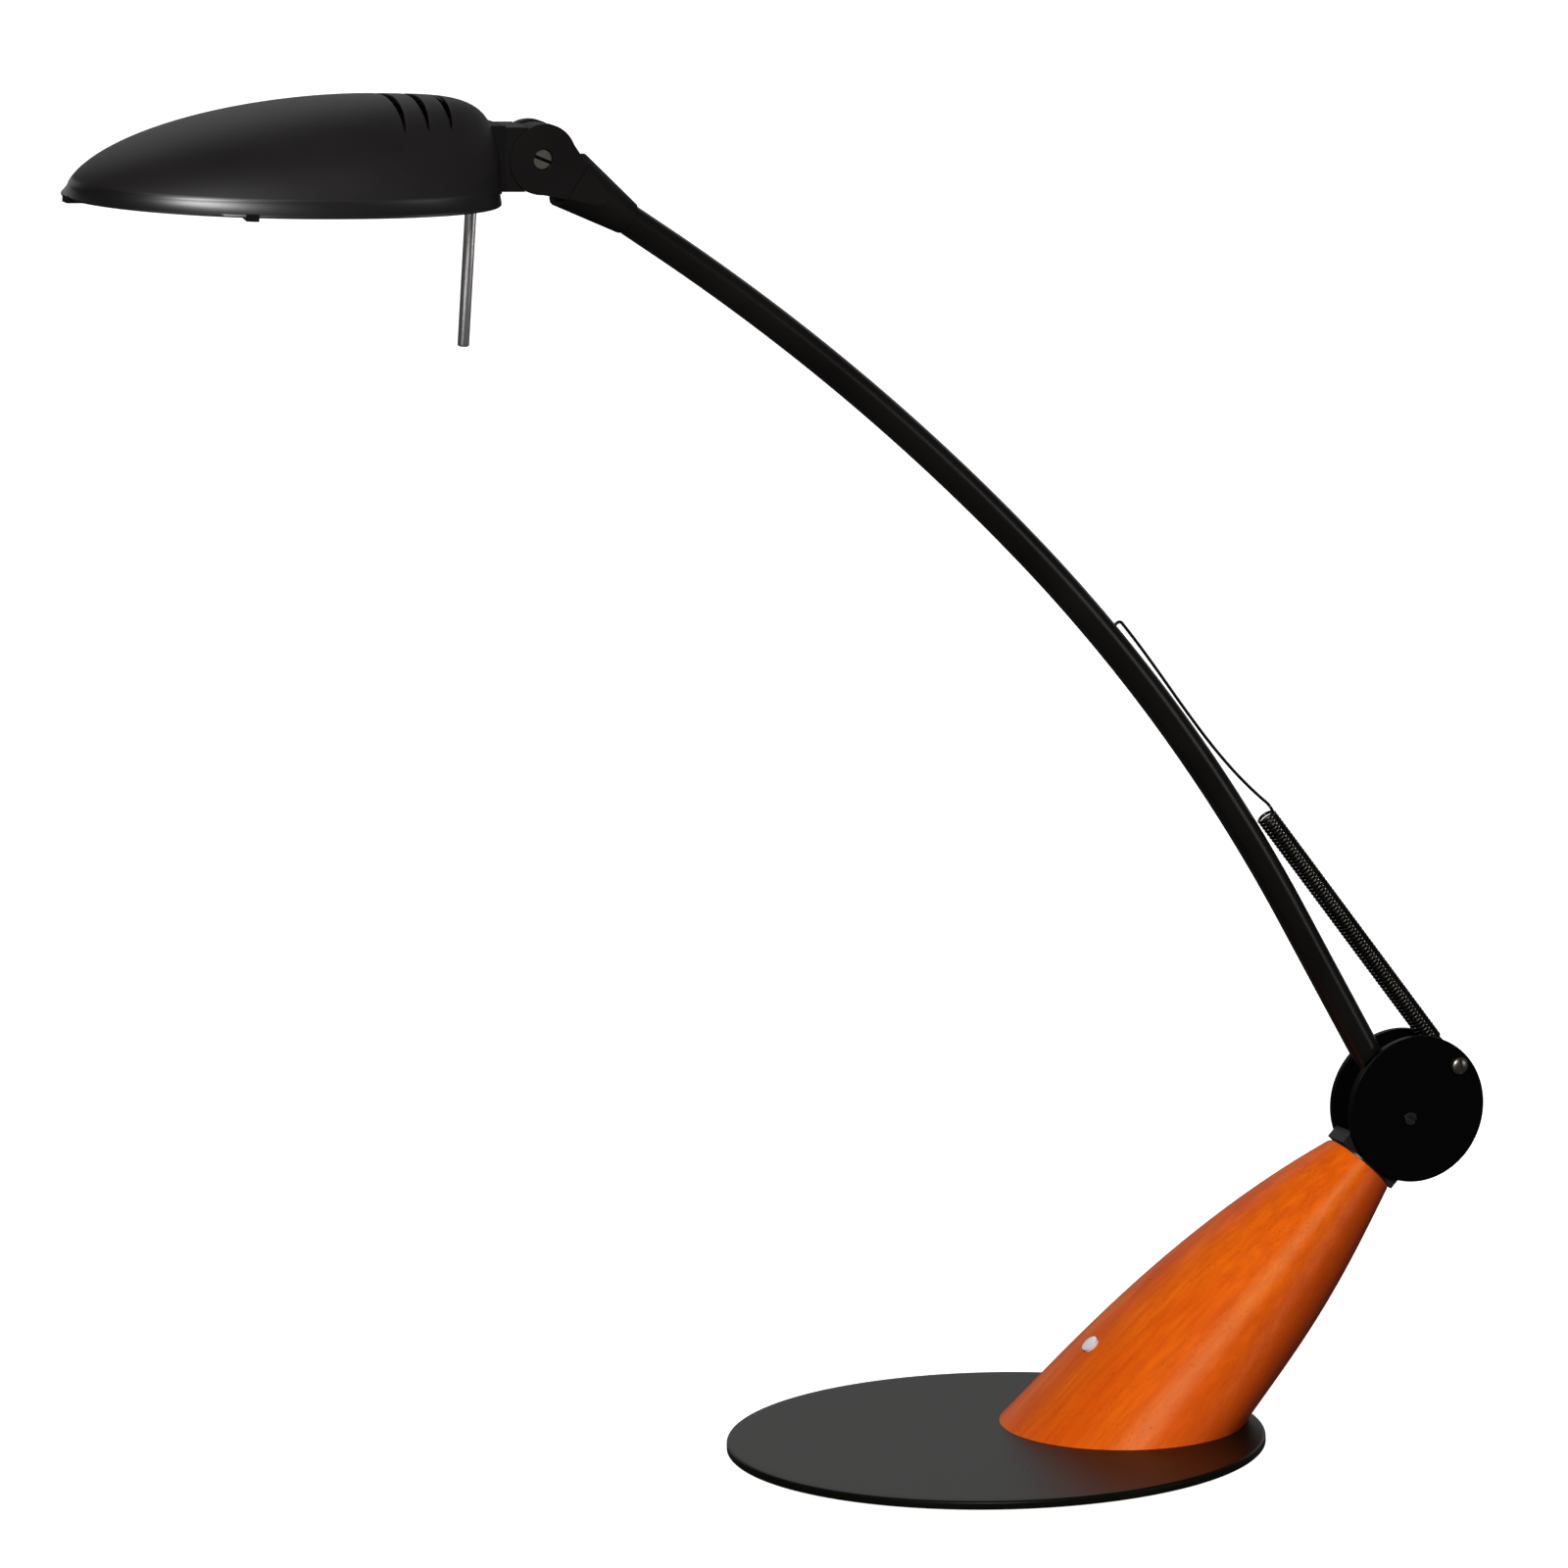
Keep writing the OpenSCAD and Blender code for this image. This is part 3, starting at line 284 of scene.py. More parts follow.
def foot_ridge(t):
    mid, radius, lean = foot_frame(t)
    return mid + radius * np.array([-sin(lean), 0, cos(lean)])


def make_foot():
    rings = [foot_ring(i / FOOT_RINGS) for i in range(FOOT_RINGS)]
    rings += [foot_ring(t, inset) for t, inset in FOOT_END]
    foot = loft("foot_wood", rings)
    button = foot_ridge(BUTTON_PLACE)
    run = unit(foot_ridge(BUTTON_PLACE + RIDGE_STEP) - foot_ridge(BUTTON_PLACE - RIDGE_STEP))
    out = np.array([-run[2], 0, run[0]])
    seat = button - SWITCH_SEAT * out
    pocket_mid = np.array([FOOT_X + POCKET_SHIFT, 0, BASE_TOP])
    half = POCKET / 2
    corners = [pocket_mid + (sx * half[0], sy * half[1], 0) for sx, sy in SQUARE]
    gland = pocket_mid + (half[0] + GLAND_WALL, 0, GLAND_RISE)
    carve(foot, [
        loft("cut_pocket", [[corner + z * Z_AXIS for corner in corners] for z in (-PAST, POCKET[2])]),
        rod_between("cut_tie", FOOT_TOP - TIE_DEPTH * FOOT_AXIS, FOOT_TOP + PAST * FOOT_AXIS, TIE_R),
        rod_between("cut_button", seat, button + BUTTON_PAST * out, BUTTON_HOLE_R),
        rod_between("cut_switch", seat - SWITCH_ROOM * out, seat, SWITCH_HOLE_R),
        rod_between("cut_gland", gland - (GLAND_WALL + PAST) * X_AXIS, gland + PAST * X_AXIS, GLAND_R),
        rod_between("cut_flange", gland, gland + FLANGE_PAST * X_AXIS, GLAND_FLANGE_R),
    ])
    smooth(foot, degrees=40)
    return foot


STRAIGHT_STEPS, BEND_STEPS, TUBE_SIDES = 6, 120, 72


def make_arm():
    skin = TUBE_D / 2
    lower = np.linspace(TUBE_START, ARM_STRAIGHT, STRAIGHT_STEPS)
    runs = np.concatenate([lower, np.linspace(ARM_STRAIGHT, ARM_L, BEND_STEPS)[1:]])
    tube = sweep("arm_bar", [arm_point(r)[0] for r in runs], skin, TUBE_SIDES, skin - TUBE_WALL)
    at, angle = arm_point(HOOK_PLACE)
    out = across(angle)
    inside, outside = at + (skin - 2 * TUBE_WALL) * out, at + (skin + PAST) * out
    carve(tube, [rod_between("cut_hook", inside, outside, WIRE_D / 2 + HOOK_ROOM, HOLE_SIDES)])
    smooth(tube)
    return tube


# The spring is drawn a little fuller and longer than its solid, and its leg sags towards the arm
COIL_LOOK_D, WIRE_LOOK_D, LEG_SAG = 8.3, 1.3, 6.1
COIL_L, COIL_TURNS, HOOK_LIFT = 121, 73, 2.9
LEAD_STEPS, LEG_STEPS, WIRE_SIDES = 10, 24, 14
COIL_STEP, LOOP_STEP, HOOK_STEP = 15, 12, 10


def spring_path():
    """The wire's points from the anchor's loop to the hook in the arm, and the coil's axis."""
    at, angle = arm_point(HOOK_PLACE)
    out = across(angle)
    hook = at + TUBE_D / 2 * out
    axis = unit(hook + HOOK_LIFT * out - ANCHOR)
    side = np.array([axis[2], 0, -axis[0]])
    coil_r = (COIL_LOOK_D - WIRE_LOOK_D) / 2
    loop_r = ANCHOR_D / 2 + WIRE_LOOK_D / 2 + LOOP_GAP
    whole_turn = 360 * COIL_TURNS - 2 * LEAD_IN

    def place(x, y, z):
        return ANCHOR + x * side + y * Y_AXIS + z * axis

    def coil(turned_by):
        a = LEAD_IN + turned_by
        return place(coil_r * cos(a), coil_r * sin(a), COIL_START + COIL_L * turned_by / whole_turn)

    def heading(a):
        return cos(a) * Y_AXIS - sin(a) * side

    low = place(loop_r, 0, COIL_START - LEAD_L)
    high = place(coil_r, 0, COIL_START + COIL_L + LEAD_L)
    first, last = coil(0), coil(whole_turn)
    tangent = np.array([-out[2], 0, out[0]])
    turn = hook + HOOK_RISE * out - HOOK_BEND * tangent
    leg_end = turn + HOOK_BEND * out
    steps = np.linspace(0, 1, LEAD_STEPS)[:-1]
    path = [place(-loop_r, 0, z) for z in (2 * WIRE_D, WIRE_D)]
    path += [place(loop_r * cos(a), 0, loop_r * sin(a)) for a in range(180, 360 + 1, LOOP_STEP)]
    path += [place(loop_r, 0, (COIL_START - LEAD_L) / 2)]
    before_first = first - LEAD_PULL * heading(LEAD_IN)
    after_last = last + LEAD_PULL * heading(-LEAD_IN)
    path += [bezier(low, low + LEAD_EASE * axis, before_first, first, t) for t in steps]
    path += [coil(a) for a in np.arange(0, whole_turn - 1, COIL_STEP)]
    path += [bezier(last, after_last, high - LEAD_EASE * axis, high, t) for t in steps]
    third = (leg_end - high) / 3
    path += [bezier(high, high + third - LEG_SAG * side, leg_end - third, leg_end, t)
             for t in np.linspace(0, 1, LEG_STEPS)[:-1]]
    path += [turn + HOOK_BEND * (cos(a) * out + sin(a) * tangent) for a in quarter(HOOK_STEP)]
    path += [hook - HOOK_IN / 2 * out, hook - HOOK_IN * out]
    return path, axis


def make_spring():
    path, axis = spring_path()
    spring = sweep("spring_wire", path, WIRE_LOOK_D / 2, WIRE_SIDES)
    smooth(spring, degrees=60)
    return spring, axis


# The anchor screw's head: height of its straight rim, radius of its flat tip and step of its dome
ANCHOR_RIM, ANCHOR_TIP_R, ANCHOR_STEP = 0.9, 0.2, 9


def make_anchor_screw():
    """The slotted screw with a domed head that holds the spring's loop."""
    head_r = ANCHOR_HEAD / 2
    crown = ANCHOR_HEAD_H - ANCHOR_RIM
    front = -DISC_OUT - ANCHOR_HEAD_H
    dome_arc = [(head_r * cos(a), -DISC_OUT - ANCHOR_RIM - crown * sin(a)) for a in range(0, 90, ANCHOR_STEP)]
    profile = [(ANCHOR_TIP_R, front)] + dome_arc[::-1]
    profile += [(head_r, -DISC_OUT), (ANCHOR_D / 2, -DISC_OUT), (ANCHOR_D / 2, ANCHOR_END)]
    screw = turned("anchor_screw_dome", ANCHOR, Y_AXIS, profile, ROUND_SIDES)
    run = cos(ANCHOR_SLOT_TURN) * X_AXIS - sin(ANCHOR_SLOT_TURN) * Z_AXIS
    side = np.cross(run, Y_AXIS)
    corners = [ANCHOR + sx * ANCHOR_HEAD * run + sy * SCREW_SLOT_W / 2 * side
               for sx, sy in SQUARE]
    depths = (front - PAST, front + SCREW_SLOT_DEPTH)
    carve(screw, [loft("cut_slot", [[corner + y * Y_AXIS for corner in corners] for y in depths])])
    smooth(screw, degrees=30)
    return screw


# The shade: an oval outline, a ridge line and a dome across it
SHADE_SIDES = 256
SHADE_ANGLES = [360 * k / SHADE_SIDES for k in range(SHADE_SIDES)]
SHADE_RINGS = 26
LEVEL_LOW, LEVEL_SPAN = 0.05, 0.935
SHADE_LEVELS = [LEVEL_LOW + LEVEL_SPAN * sin(90 * i / SHADE_RINGS) for i in range(SHADE_RINGS, -1, -1)]
LEAST_HALF, RIM_SOFT, FLARE_STEPS = 0.01, 0.25, 12
FLARE_BEND = np.array([0.12, 0.12, 0.45])
NECK_HOLE = (-16, 2)


def shade_reach(front, grow):
    return (SHADE_L - SHADE_WIDE if front else SHADE_WIDE) + grow


def power(value, exponent):
    return math.copysign(abs(value) ** exponent, value)


def oval(share, exponent):
    return max(0.0, 1 - min(share, 1) ** exponent) ** (1 / exponent)


def shade_edge(angle, grow):
    front = cos(angle) < 0
    exponent = 2 / (TIP_POWER if front else REAR_POWER)
    return np.array([-SHADE_WIDE + shade_reach(front, grow) * power(cos(angle), exponent),
                     (SHADE_W / 2 + grow) * power(sin(angle), exponent)])


def shade_half(x, grow):
    front = x < -SHADE_WIDE
    share = abs(x + SHADE_WIDE) / shade_reach(front, grow)
    return (SHADE_W / 2 + grow) * oval(share, TIP_POWER if front else REAR_POWER)


def shade_ridge(x, grow):
    front = x < -SHADE_CROWN
    reach = (SHADE_L - SHADE_CROWN if front else SHADE_CROWN) + grow
    return (SHADE_H + grow) * oval(abs(x + SHADE_CROWN) / reach, NOSE_POWER if front else TAIL_POWER)


def dome(x, y, grow=0.0):
    return shade_ridge(x, grow) * oval(abs(y) / max(shade_half(x, grow), LEAST_HALF), DOME_POWER)


def from_shade(p):
    """A point of the shade's own frame in the lamp's frame."""
    return SHADE_AT + p[0] * SHADE_X + p[1] * Y_AXIS + p[2] * SHADE_Z


def rim_ring(grow, z):
    return [np.array([*shade_edge(a, grow), z]) for a in SHADE_ANGLES]


def dome_ring(level, grow):
    spots = [SHADE_MID + level * (shade_edge(a, grow) - SHADE_MID) for a in SHADE_ANGLES]
    return [np.array([x, y, max(dome(x, y, grow), RIM_H)]) for x, y in spots]


def flare_ring(t):
    """A ring of the hollow flare between the dome's lowest ring and the edge of the rim."""
    pairs = zip(dome_ring(SHADE_LEVELS[0], 0), rim_ring(LIP_OUT, LIP_EDGE))
    return [curve(start, start + (end - start) * FLARE_BEND, end, t) for start, end in pairs]


# The slots as they are drawn, narrower than in the solid
SLOT_CUT, SLOT_SLANT, SLOT_SHOULDER, SLOT_ABOVE = 4.0, 0.7, (1.0, 1.1), 3.0
SLOT_LOOK_W, SLOT_END, SLOT_SHIFT, SLOT_BEND = 2.9, 0.2, 0.4, 1.65
SLOT_STEPS, SHOULDER_STEP = 41, 15


def slot_cutter(i):
    """A crescent across the ridge, undercut towards the rear, with a rounded shoulder on its rear side."""
    x = -SLOT_FIRST - i * SLOT_PITCH
    reach = SLOT_SHARE * shade_half(x, 0)
    shares = np.linspace(-1, 1, SLOT_STEPS)
    walls = [(s, 0) for s in shares] + [(s, 1) for s in shares[::-1]]
    drop, run = SLOT_SHOULDER
    rings = [(-SLOT_CUT, 0.0)]
    rings += [(drop * (sin(a) - 1), run * (1 - cos(a))) for a in quarter(SHOULDER_STEP)]
    rings += [(SLOT_ABOVE, run)]
    made = []
    for depth, shoulder in rings:
        ring = []
        for s, rear in walls:
            taper = 1 - (1 - SLOT_END) * s * s
            px = x + SLOT_SHIFT - SLOT_SWEEP * reach * abs(s) ** SLOT_BEND
            px += ((rear - 0.5) * SLOT_LOOK_W + rear * shoulder) * taper + SLOT_SLANT * max(-depth, 0)
            py = reach * s
            ring.append(from_shade((px, py, dome(px, py) + depth)))
        made.append(ring)
    return loft("cut_slot", made)


def make_shade():
    inner = -SHADE_WALL
    rim = [(LIP_OUT, RIM_SOFT), (LIP_OUT - RIM_SOFT, 0.0),
           (inner + RIM_SOFT, 0.0), (inner, RIM_SOFT), (inner, RIM_H)]
    rings = [dome_ring(level, 0) for level in reversed(SHADE_LEVELS)]
    rings += [flare_ring(t) for t in np.linspace(0, 1, FLARE_STEPS)[1:]]
    rings += [rim_ring(grow, z) for grow, z in rim]
    rings += [dome_ring(level, inner) for level in SHADE_LEVELS]
    shade = loft("shade_shell", [[from_shade(p) for p in ring] for ring in rings])
    holes = []
    for s in (-1, 1):
        z = HINGE_UP + s * NECK_SCREW_RISE
        start, end = [from_shade((x, 0, z)) for x in NECK_HOLE]
        holes.append(rod_between("cut_neck", start, end, NECK_SCREW_R, HOLE_SIDES))
    carve(shade, [slot_cutter(i) for i in range(SLOT_COUNT)] + holes)
    smooth(shade, degrees=32)
    return shade


# Stops of a dark and a light tone, and scale and detail of the paint's clouds
TONE_STOPS, CLOUD = (0.3, 0.7), (38.0, 4.0)
# How much the roughness varies, down and up
PAINT_VARY, METAL_VARY, PLASTIC_VARY = (-0.06, 0.06), (-0.05, 0.08), (-0.05, 0.05)


class Finish:
    """A material with one main shader and short ways to add nodes."""

    def __init__(self, name, **sockets):
        self.material = bpy.data.materials.new(name)
        self.material.use_nodes = True
        self.tree = self.material.node_tree
        self.shader = self.tree.nodes["Principled BSDF"]
        for socket, value in sockets.items():
            self.shader.inputs[socket.replace("_", " ")].default_value = value

    def node(self, kind, inputs=(), **settings):
        made = self.tree.nodes.new(kind)
        for key, value in settings.items():
            setattr(made, key, value)
        for key, value in dict(inputs).items():
            self.feed(made.inputs[key], value)
        return made

    def feed(self, socket, value):
        if isinstance(value, bpy.types.NodeSocket):
            self.tree.links.new(value, socket)
        else:
            socket.default_value = value

    def place(self, turn=0.0, stretch=(1, 1, 1), shift=0.0):
        """Object coordinates turned about Y, shifted along X and stretched."""
        coordinates = self.node("ShaderNodeTexCoord").outputs["Object"]
        turned_by = self.node("ShaderNodeMapping", {
            "Vector": coordinates, "Rotation": (0, math.radians(turn), 0), "Location": (-shift, 0, 0)})
        return self.node("ShaderNodeMapping", {"Vector": turned_by.outputs[0], "Scale": stretch}).outputs[0]

    def noise(self, vector, scale, detail=2.0, roughness=0.5):
        made = self.node("ShaderNodeTexNoise", {
            "Vector": vector, "Scale": scale, "Detail": detail, "Roughness": roughness})
        return made.outputs["Fac"]

    def ramp(self, factor, stops):
        made = self.node("ShaderNodeValToRGB", {"Fac": factor})
        elements = made.color_ramp.elements
        while len(elements) < len(stops):
            elements.new(0.5)
        for element, (position, colour) in zip(elements, stops):
            element.position = position
            element.color = (*colour, 1) if isinstance(colour, tuple) else (colour, colour, colour, 1)
        return made.outputs["Color"]

    def tones(self, factor, dark, light):
        return self.ramp(factor, list(zip(TONE_STOPS, (dark, light))))

    def mix(self, factor, a, b):
        made = self.node("ShaderNodeMix", data_type="RGBA")
        self.feed(made.inputs[0], factor)
        for socket, value in ((made.inputs[6], a), (made.inputs[7], b)):
            self.feed(socket, (*value, 1) if isinstance(value, tuple) else value)
        return made.outputs[2]

    def span(self, factor, low, high, start=0.0, end=1.0):
        made = self.node("ShaderNodeMapRange", {
            "Value": factor, "From Min": start, "From Max": end, "To Min": low, "To Max": high})
        return made.outputs["Result"]

    def colour(self, value):
        self.feed(self.shader.inputs["Base Color"], value)

    def rough(self, value):
        self.feed(self.shader.inputs["Roughness"], value)

    def vary_rough(self, factor, rough, vary):
        down, up = vary
        self.rough(self.span(factor, rough + down, rough + up))

    def bump(self, height, distance, strength=1.0):
        made = self.node("ShaderNodeBump", {"Height": height, "Distance": distance, "Strength": strength})
        self.feed(self.shader.inputs["Normal"], made.outputs["Normal"])


def painted(name, dark, light, rough, grain, depth, level):
    """Satin paint with a fine grain, cloudy tone and roughness."""
    finish = Finish(name, Specular_IOR_Level=level)
    place = finish.place()
    cloud = finish.noise(place, *CLOUD)
    fine = finish.noise(place, grain, 2.0)
    finish.colour(finish.tones(cloud, dark, light))
    finish.vary_rough(fine, rough, PAINT_VARY)
    finish.bump(fine, depth)
    return finish.material


# Heights on the shade between which its glossy flare turns into the matt dome
FLARE_TOP = (6.0, 7.2)


def shade_paint():
    """Matt paint with a fine tooth on the dome and a smoother, glossier flare along the rim."""
    finish = Finish("textured_black")
    place = finish.place()
    cloud = finish.noise(place, *CLOUD)
    fine = finish.noise(place, 1500.0, 2.0)
    height = finish.node("ShaderNodeSeparateXYZ", {"Vector": finish.place(-SHADE_PITCH)}).outputs["Z"]
    level = MM * SHADE_AT.dot(SHADE_Z)
    dome_share = finish.span(height, 0.0, 1.0, level + MM * FLARE_TOP[0], level + MM * FLARE_TOP[1])
    matt = finish.tones(cloud, (0.0072, 0.006, 0.006), (0.01, 0.0084, 0.0082))
    finish.colour(finish.mix(dome_share, (0.004, 0.0036, 0.0036), matt))
    finish.rough(finish.span(dome_share, 0.34, 0.58))
    finish.feed(finish.shader.inputs["Specular IOR Level"], finish.span(dome_share, 0.7, 0.25))
    finish.bump(fine, 0.00003, finish.span(dome_share, 0.1, 1.0))
    return finish.material


# Painted shade in a screw's slot: depth where it starts, length of the change and colour
GROOVE_LEVEL, GROOVE_FADE, SLOT_SHADE_TONE = 0.3, 0.2, (0.012, 0.012, 0.011)


def metal(name, dark, light, rough, stretch=(1, 1, 1), metallic=1.0, depth=0.000003, slot_shade_y=None):
    """Bare metal with fine drawn or turned lines, and painted shade beyond a slot's level along Y."""
    finish = Finish(name, Metallic=metallic)
    place = finish.place(0.0, stretch)
    lines = finish.noise(place, 900.0, 3.0)
    cloud = finish.noise(place, 60.0, 3.0)
    tone = finish.tones(cloud, dark, light)
    # Painted shade: beyond a level along Y, deep in a screw's slot, the metal turns dark.
    if slot_shade_y is not None:
        y = finish.node("ShaderNodeSeparateXYZ", {"Vector": finish.place()}).outputs["Y"]
        tone = finish.mix(finish.span(y, 0.0, 1.0, slot_shade_y, slot_shade_y + MM * GROOVE_FADE), tone, SLOT_SHADE_TONE)
    finish.colour(tone)
    finish.vary_rough(lines, rough, METAL_VARY)
    finish.bump(lines, depth)
    return finish.material


def plastic(name, dark, light, rough):
    """Moulded plastic or ceramic with a faint grain."""
    finish = Finish(name, Specular_IOR_Level=0.15)
    place = finish.place()
    fine = finish.noise(place, 1400.0, 2.0)
    finish.colour(finish.tones(finish.noise(place, 90.0, 3.0), dark, light))
    finish.vary_rough(fine, rough, PLASTIC_VARY)
    finish.bump(fine, 0.00001)
    return finish.material


def stained_wood():
    """Beech stained orange, with bands and pores, painted shade that darkens its ridge and underside, and a
    painted highlight stripe along each side.
    """
    finish = Finish("stained_beech", Coat_Weight=0.09, Coat_Roughness=0.25, Specular_IOR_Level=0.04)
    lean = FOOT_LEAN - 90
    axis_x = MM * (FOOT_TOP[0] * cos(lean) + FOOT_TOP[2] * sin(lean))
    grain = finish.place(lean, (1, 1, 0.06))
    pore_place = finish.place(lean, (1, 1, 0.13))
    around = finish.node("ShaderNodeTexGradient", {"Vector": finish.place(lean, (1, 1, 1), axis_x)},
                         gradient_type="RADIAL").outputs["Fac"]
    bands = finish.noise(grain, 75.0, 4.0, 0.6)
    streaks = finish.noise(grain, 420.0, 3.0, 0.6)
    cloud = finish.noise(finish.place(), 22.0, 3.0)
    cells = finish.node("ShaderNodeTexVoronoi", {"Vector": pore_place, "Scale": 1250.0}).outputs["Distance"]
    patches = finish.ramp(finish.noise(pore_place, 120.0, 2.0), [(0.35, 0.15), (0.6, 0.9)])
    pores = finish.mix(patches, (0.0, 0.0, 0.0), finish.ramp(cells, [(0.05, 0.9), (0.26, 0.0)]))
    stain = finish.ramp(bands, [(0.3, (0.70, 0.088, 0.002)), (0.5, (0.92, 0.150, 0.003)),
                                (0.7, (0.98, 0.195, 0.004))])
    stain = finish.mix(finish.span(streaks, 0.0, 0.6, 0.3, 0.7), stain, (0.50, 0.062, 0.003))
    stain = finish.mix(finish.span(cloud, 0.0, 0.55, 0.3, 0.7), stain, (0.66, 0.074, 0.003))
    # Painted shade: around the foot's axis the stain turns a deep red over the underside and a little towards
    # the ridge.
    edge = finish.ramp(around, [(0.0, 0.25), (0.05, 0.1), (0.11, 0.0), (0.18, 0.0), (0.28, 0.8), (0.36, 1.0),
                                (0.64, 1.0), (0.72, 0.8), (0.82, 0.0), (0.89, 0.0), (0.95, 0.1), (1.0, 0.25)])
    # Painted highlight: a paler, whiter stripe along each side of the foot stands for a lamp's soft
    # reflection in the lacquer.
    painted_highlight_stripe = finish.ramp(around, [(0.155, 0.0), (0.178, 0.34), (0.2, 0.0),
                                (0.8, 0.0), (0.822, 0.34), (0.845, 0.0)])
    stain = finish.mix(edge, stain, (0.42, 0.045, 0.004))
    stain = finish.mix(painted_highlight_stripe, stain, (0.85, 0.30, 0.10))
    finish.colour(finish.mix(pores, stain, (0.34, 0.042, 0.002)))
    finish.rough(finish.span(streaks, 0.38, 0.5))
    finish.bump(streaks, 0.00003)
    return finish.material


def felt():
    finish = Finish("black_felt", Sheen_Weight=0.5, Sheen_Roughness=0.6)
    place = finish.place()
    fibres = finish.noise(place, 2200.0, 4.0, 0.7)
    finish.colour(finish.tones(fibres, (0.008, 0.008, 0.008), (0.05, 0.05, 0.05)))
    finish.rough(0.95)
    finish.bump(fibres, 0.0002)
    return finish.material


def clear(name, tint, rough):
    """Clear glass with a faint waviness."""
    finish = Finish(name, Transmission_Weight=1.0, IOR=1.5, Base_Color=(*tint, 1))
    waves = finish.noise(finish.place(), 30.0, 2.0)
    finish.rough(finish.span(waves, rough, rough + 0.02))
    finish.bump(waves, 0.00002)
    return finish.material


def copper():
    """Fine enamelled turns laid side by side."""
    finish = Finish("wound_copper", Metallic=0.85)
    turns = finish.node("ShaderNodeTexWave", {"Vector": finish.place(), "Scale": 500.0, "Distortion": 0.6},
                        wave_type="BANDS", bands_direction="Z").outputs["Fac"]
    finish.colour(finish.ramp(turns, [(0.1, (0.16, 0.05, 0.02)), (0.7, (0.62, 0.24, 0.09))]))
    finish.rough(0.35)
    finish.bump(turns, 0.0001)
    return finish.material


# The camera of the photograph: a long lens, a little to the left of the lamp's front and above it
CAMERA_AZIMUTH, CAMERA_PITCH, CAMERA_ROLL, CAMERA_AWAY = 24.0, 11.5568, -1.0864, 6018.51
CAMERA_AIM = np.array([-85.081, 0, 271.658])
CAMERA_LENS, CAMERA_SENSOR, CAMERA_FAR = 360, 36, 100


def add_camera():
    level = cos(CAMERA_PITCH)
    forward = np.array([sin(CAMERA_AZIMUTH) * level, cos(CAMERA_AZIMUTH) * level, -sin(CAMERA_PITCH)])
    flat_right = np.array([cos(CAMERA_AZIMUTH), -sin(CAMERA_AZIMUTH), 0])
    flat_up = np.cross(flat_right, forward)
    right = cos(CAMERA_ROLL) * flat_right + sin(CAMERA_ROLL) * flat_up
    up = cos(CAMERA_ROLL) * flat_up - sin(CAMERA_ROLL) * flat_right
    data = bpy.data.cameras.new("camera")
    data.sensor_width = CAMERA_SENSOR
    data.lens = CAMERA_LENS
    data.clip_end = CAMERA_FAR
    camera = bpy.data.objects.new("camera", data)
    turn = Matrix((right, up, -forward)).transposed().to_4x4()
    camera.matrix_world = Matrix.Translation(Vector(MM * (CAMERA_AIM - CAMERA_AWAY * forward))) @ turn
    bpy.context.scene.collection.objects.link(camera)
    bpy.context.scene.camera = camera


def add_light(name, at, aim, size, watts):
    data = bpy.data.lights.new(name, "AREA")
    data.shape = "RECTANGLE"
    data.size, data.size_y = size
    data.energy = watts
    light = bpy.data.objects.new(name, data)
    light.location = at
    light.rotation_euler = (Vector(aim) - Vector(at)).to_track_quat("-Z", "Y").to_euler()
    bpy.context.scene.collection.objects.link(light)


FLOOR_HALF, FLOOR_GLOW, SKY_GLOW = 30000, 0.95, 0.06
# Soft lights: name, place, aim and size in metres, watts
LIGHTS = (
    ("key", (-1.45, -2.6, 2.0), (-0.05, 0, 0.2), (1.3, 1.3), 117),
    ("strip", (1.9, -1.6, 0.4), (0.1, 0, 0.15), (0.7, 0.75), 5),
    ("low", (-1.75, -1.5, 0.12), (-0.2, 0, 0.45), (0.5, 0.2), 1.5),
    ("top", (0.3, 2.4, 2.3), (-0.3, 0, 0.5), (1.6, 1.0), 10),
    ("backdrop", (1.9, 4.2, 1.5), (0, 0, 0.4), (8.0, 3.0), 36),
)


def add_stage():
    """A white floor, a dim even sky and the soft lights."""
    corners = [(sx * FLOOR_HALF, sy * FLOOR_HALF, 0) for sx, sy in SQUARE]
    floor = new_object("floor", corners, [(0, 1, 2, 3)])
    finish = Finish("pale_floor", Base_Color=(0.9, 0.9, 0.9, 1), Roughness=0.9, Specular_IOR_Level=0.0,
                    Emission_Color=(1, 1, 1, 1), Emission_Strength=FLOOR_GLOW)
    floor.data.materials.append(finish.material)
    floor.visible_glossy = False
    floor.visible_diffuse = False
    world = bpy.data.worlds.new("studio")
    world.use_nodes = True
    sky = world.node_tree.nodes["Background"].inputs
    sky["Color"].default_value = (1, 1, 1, 1)
    sky["Strength"].default_value = SKY_GLOW
    bpy.context.scene.world = world
    bpy.context.scene.view_settings.view_transform = "Standard"
    for light in LIGHTS:
        add_light(*light)


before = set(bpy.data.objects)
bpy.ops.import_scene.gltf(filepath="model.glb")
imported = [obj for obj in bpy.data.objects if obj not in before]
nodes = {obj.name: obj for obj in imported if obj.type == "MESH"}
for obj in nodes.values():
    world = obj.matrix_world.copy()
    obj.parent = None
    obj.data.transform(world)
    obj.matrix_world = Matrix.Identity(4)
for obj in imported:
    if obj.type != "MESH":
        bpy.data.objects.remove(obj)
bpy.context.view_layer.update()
add_camera()
add_stage()

black = painted("satin_black", (0.005, 0.0042, 0.0038), (0.0078, 0.0066, 0.006),
                rough=0.25, grain=2600.0, depth=0.000002, level=0.17)
matt_black = painted("matt_black", (0.005, 0.0042, 0.004), (0.0075, 0.0064, 0.006),
                     rough=0.55, grain=1800.0, depth=0.00001, level=0.08)
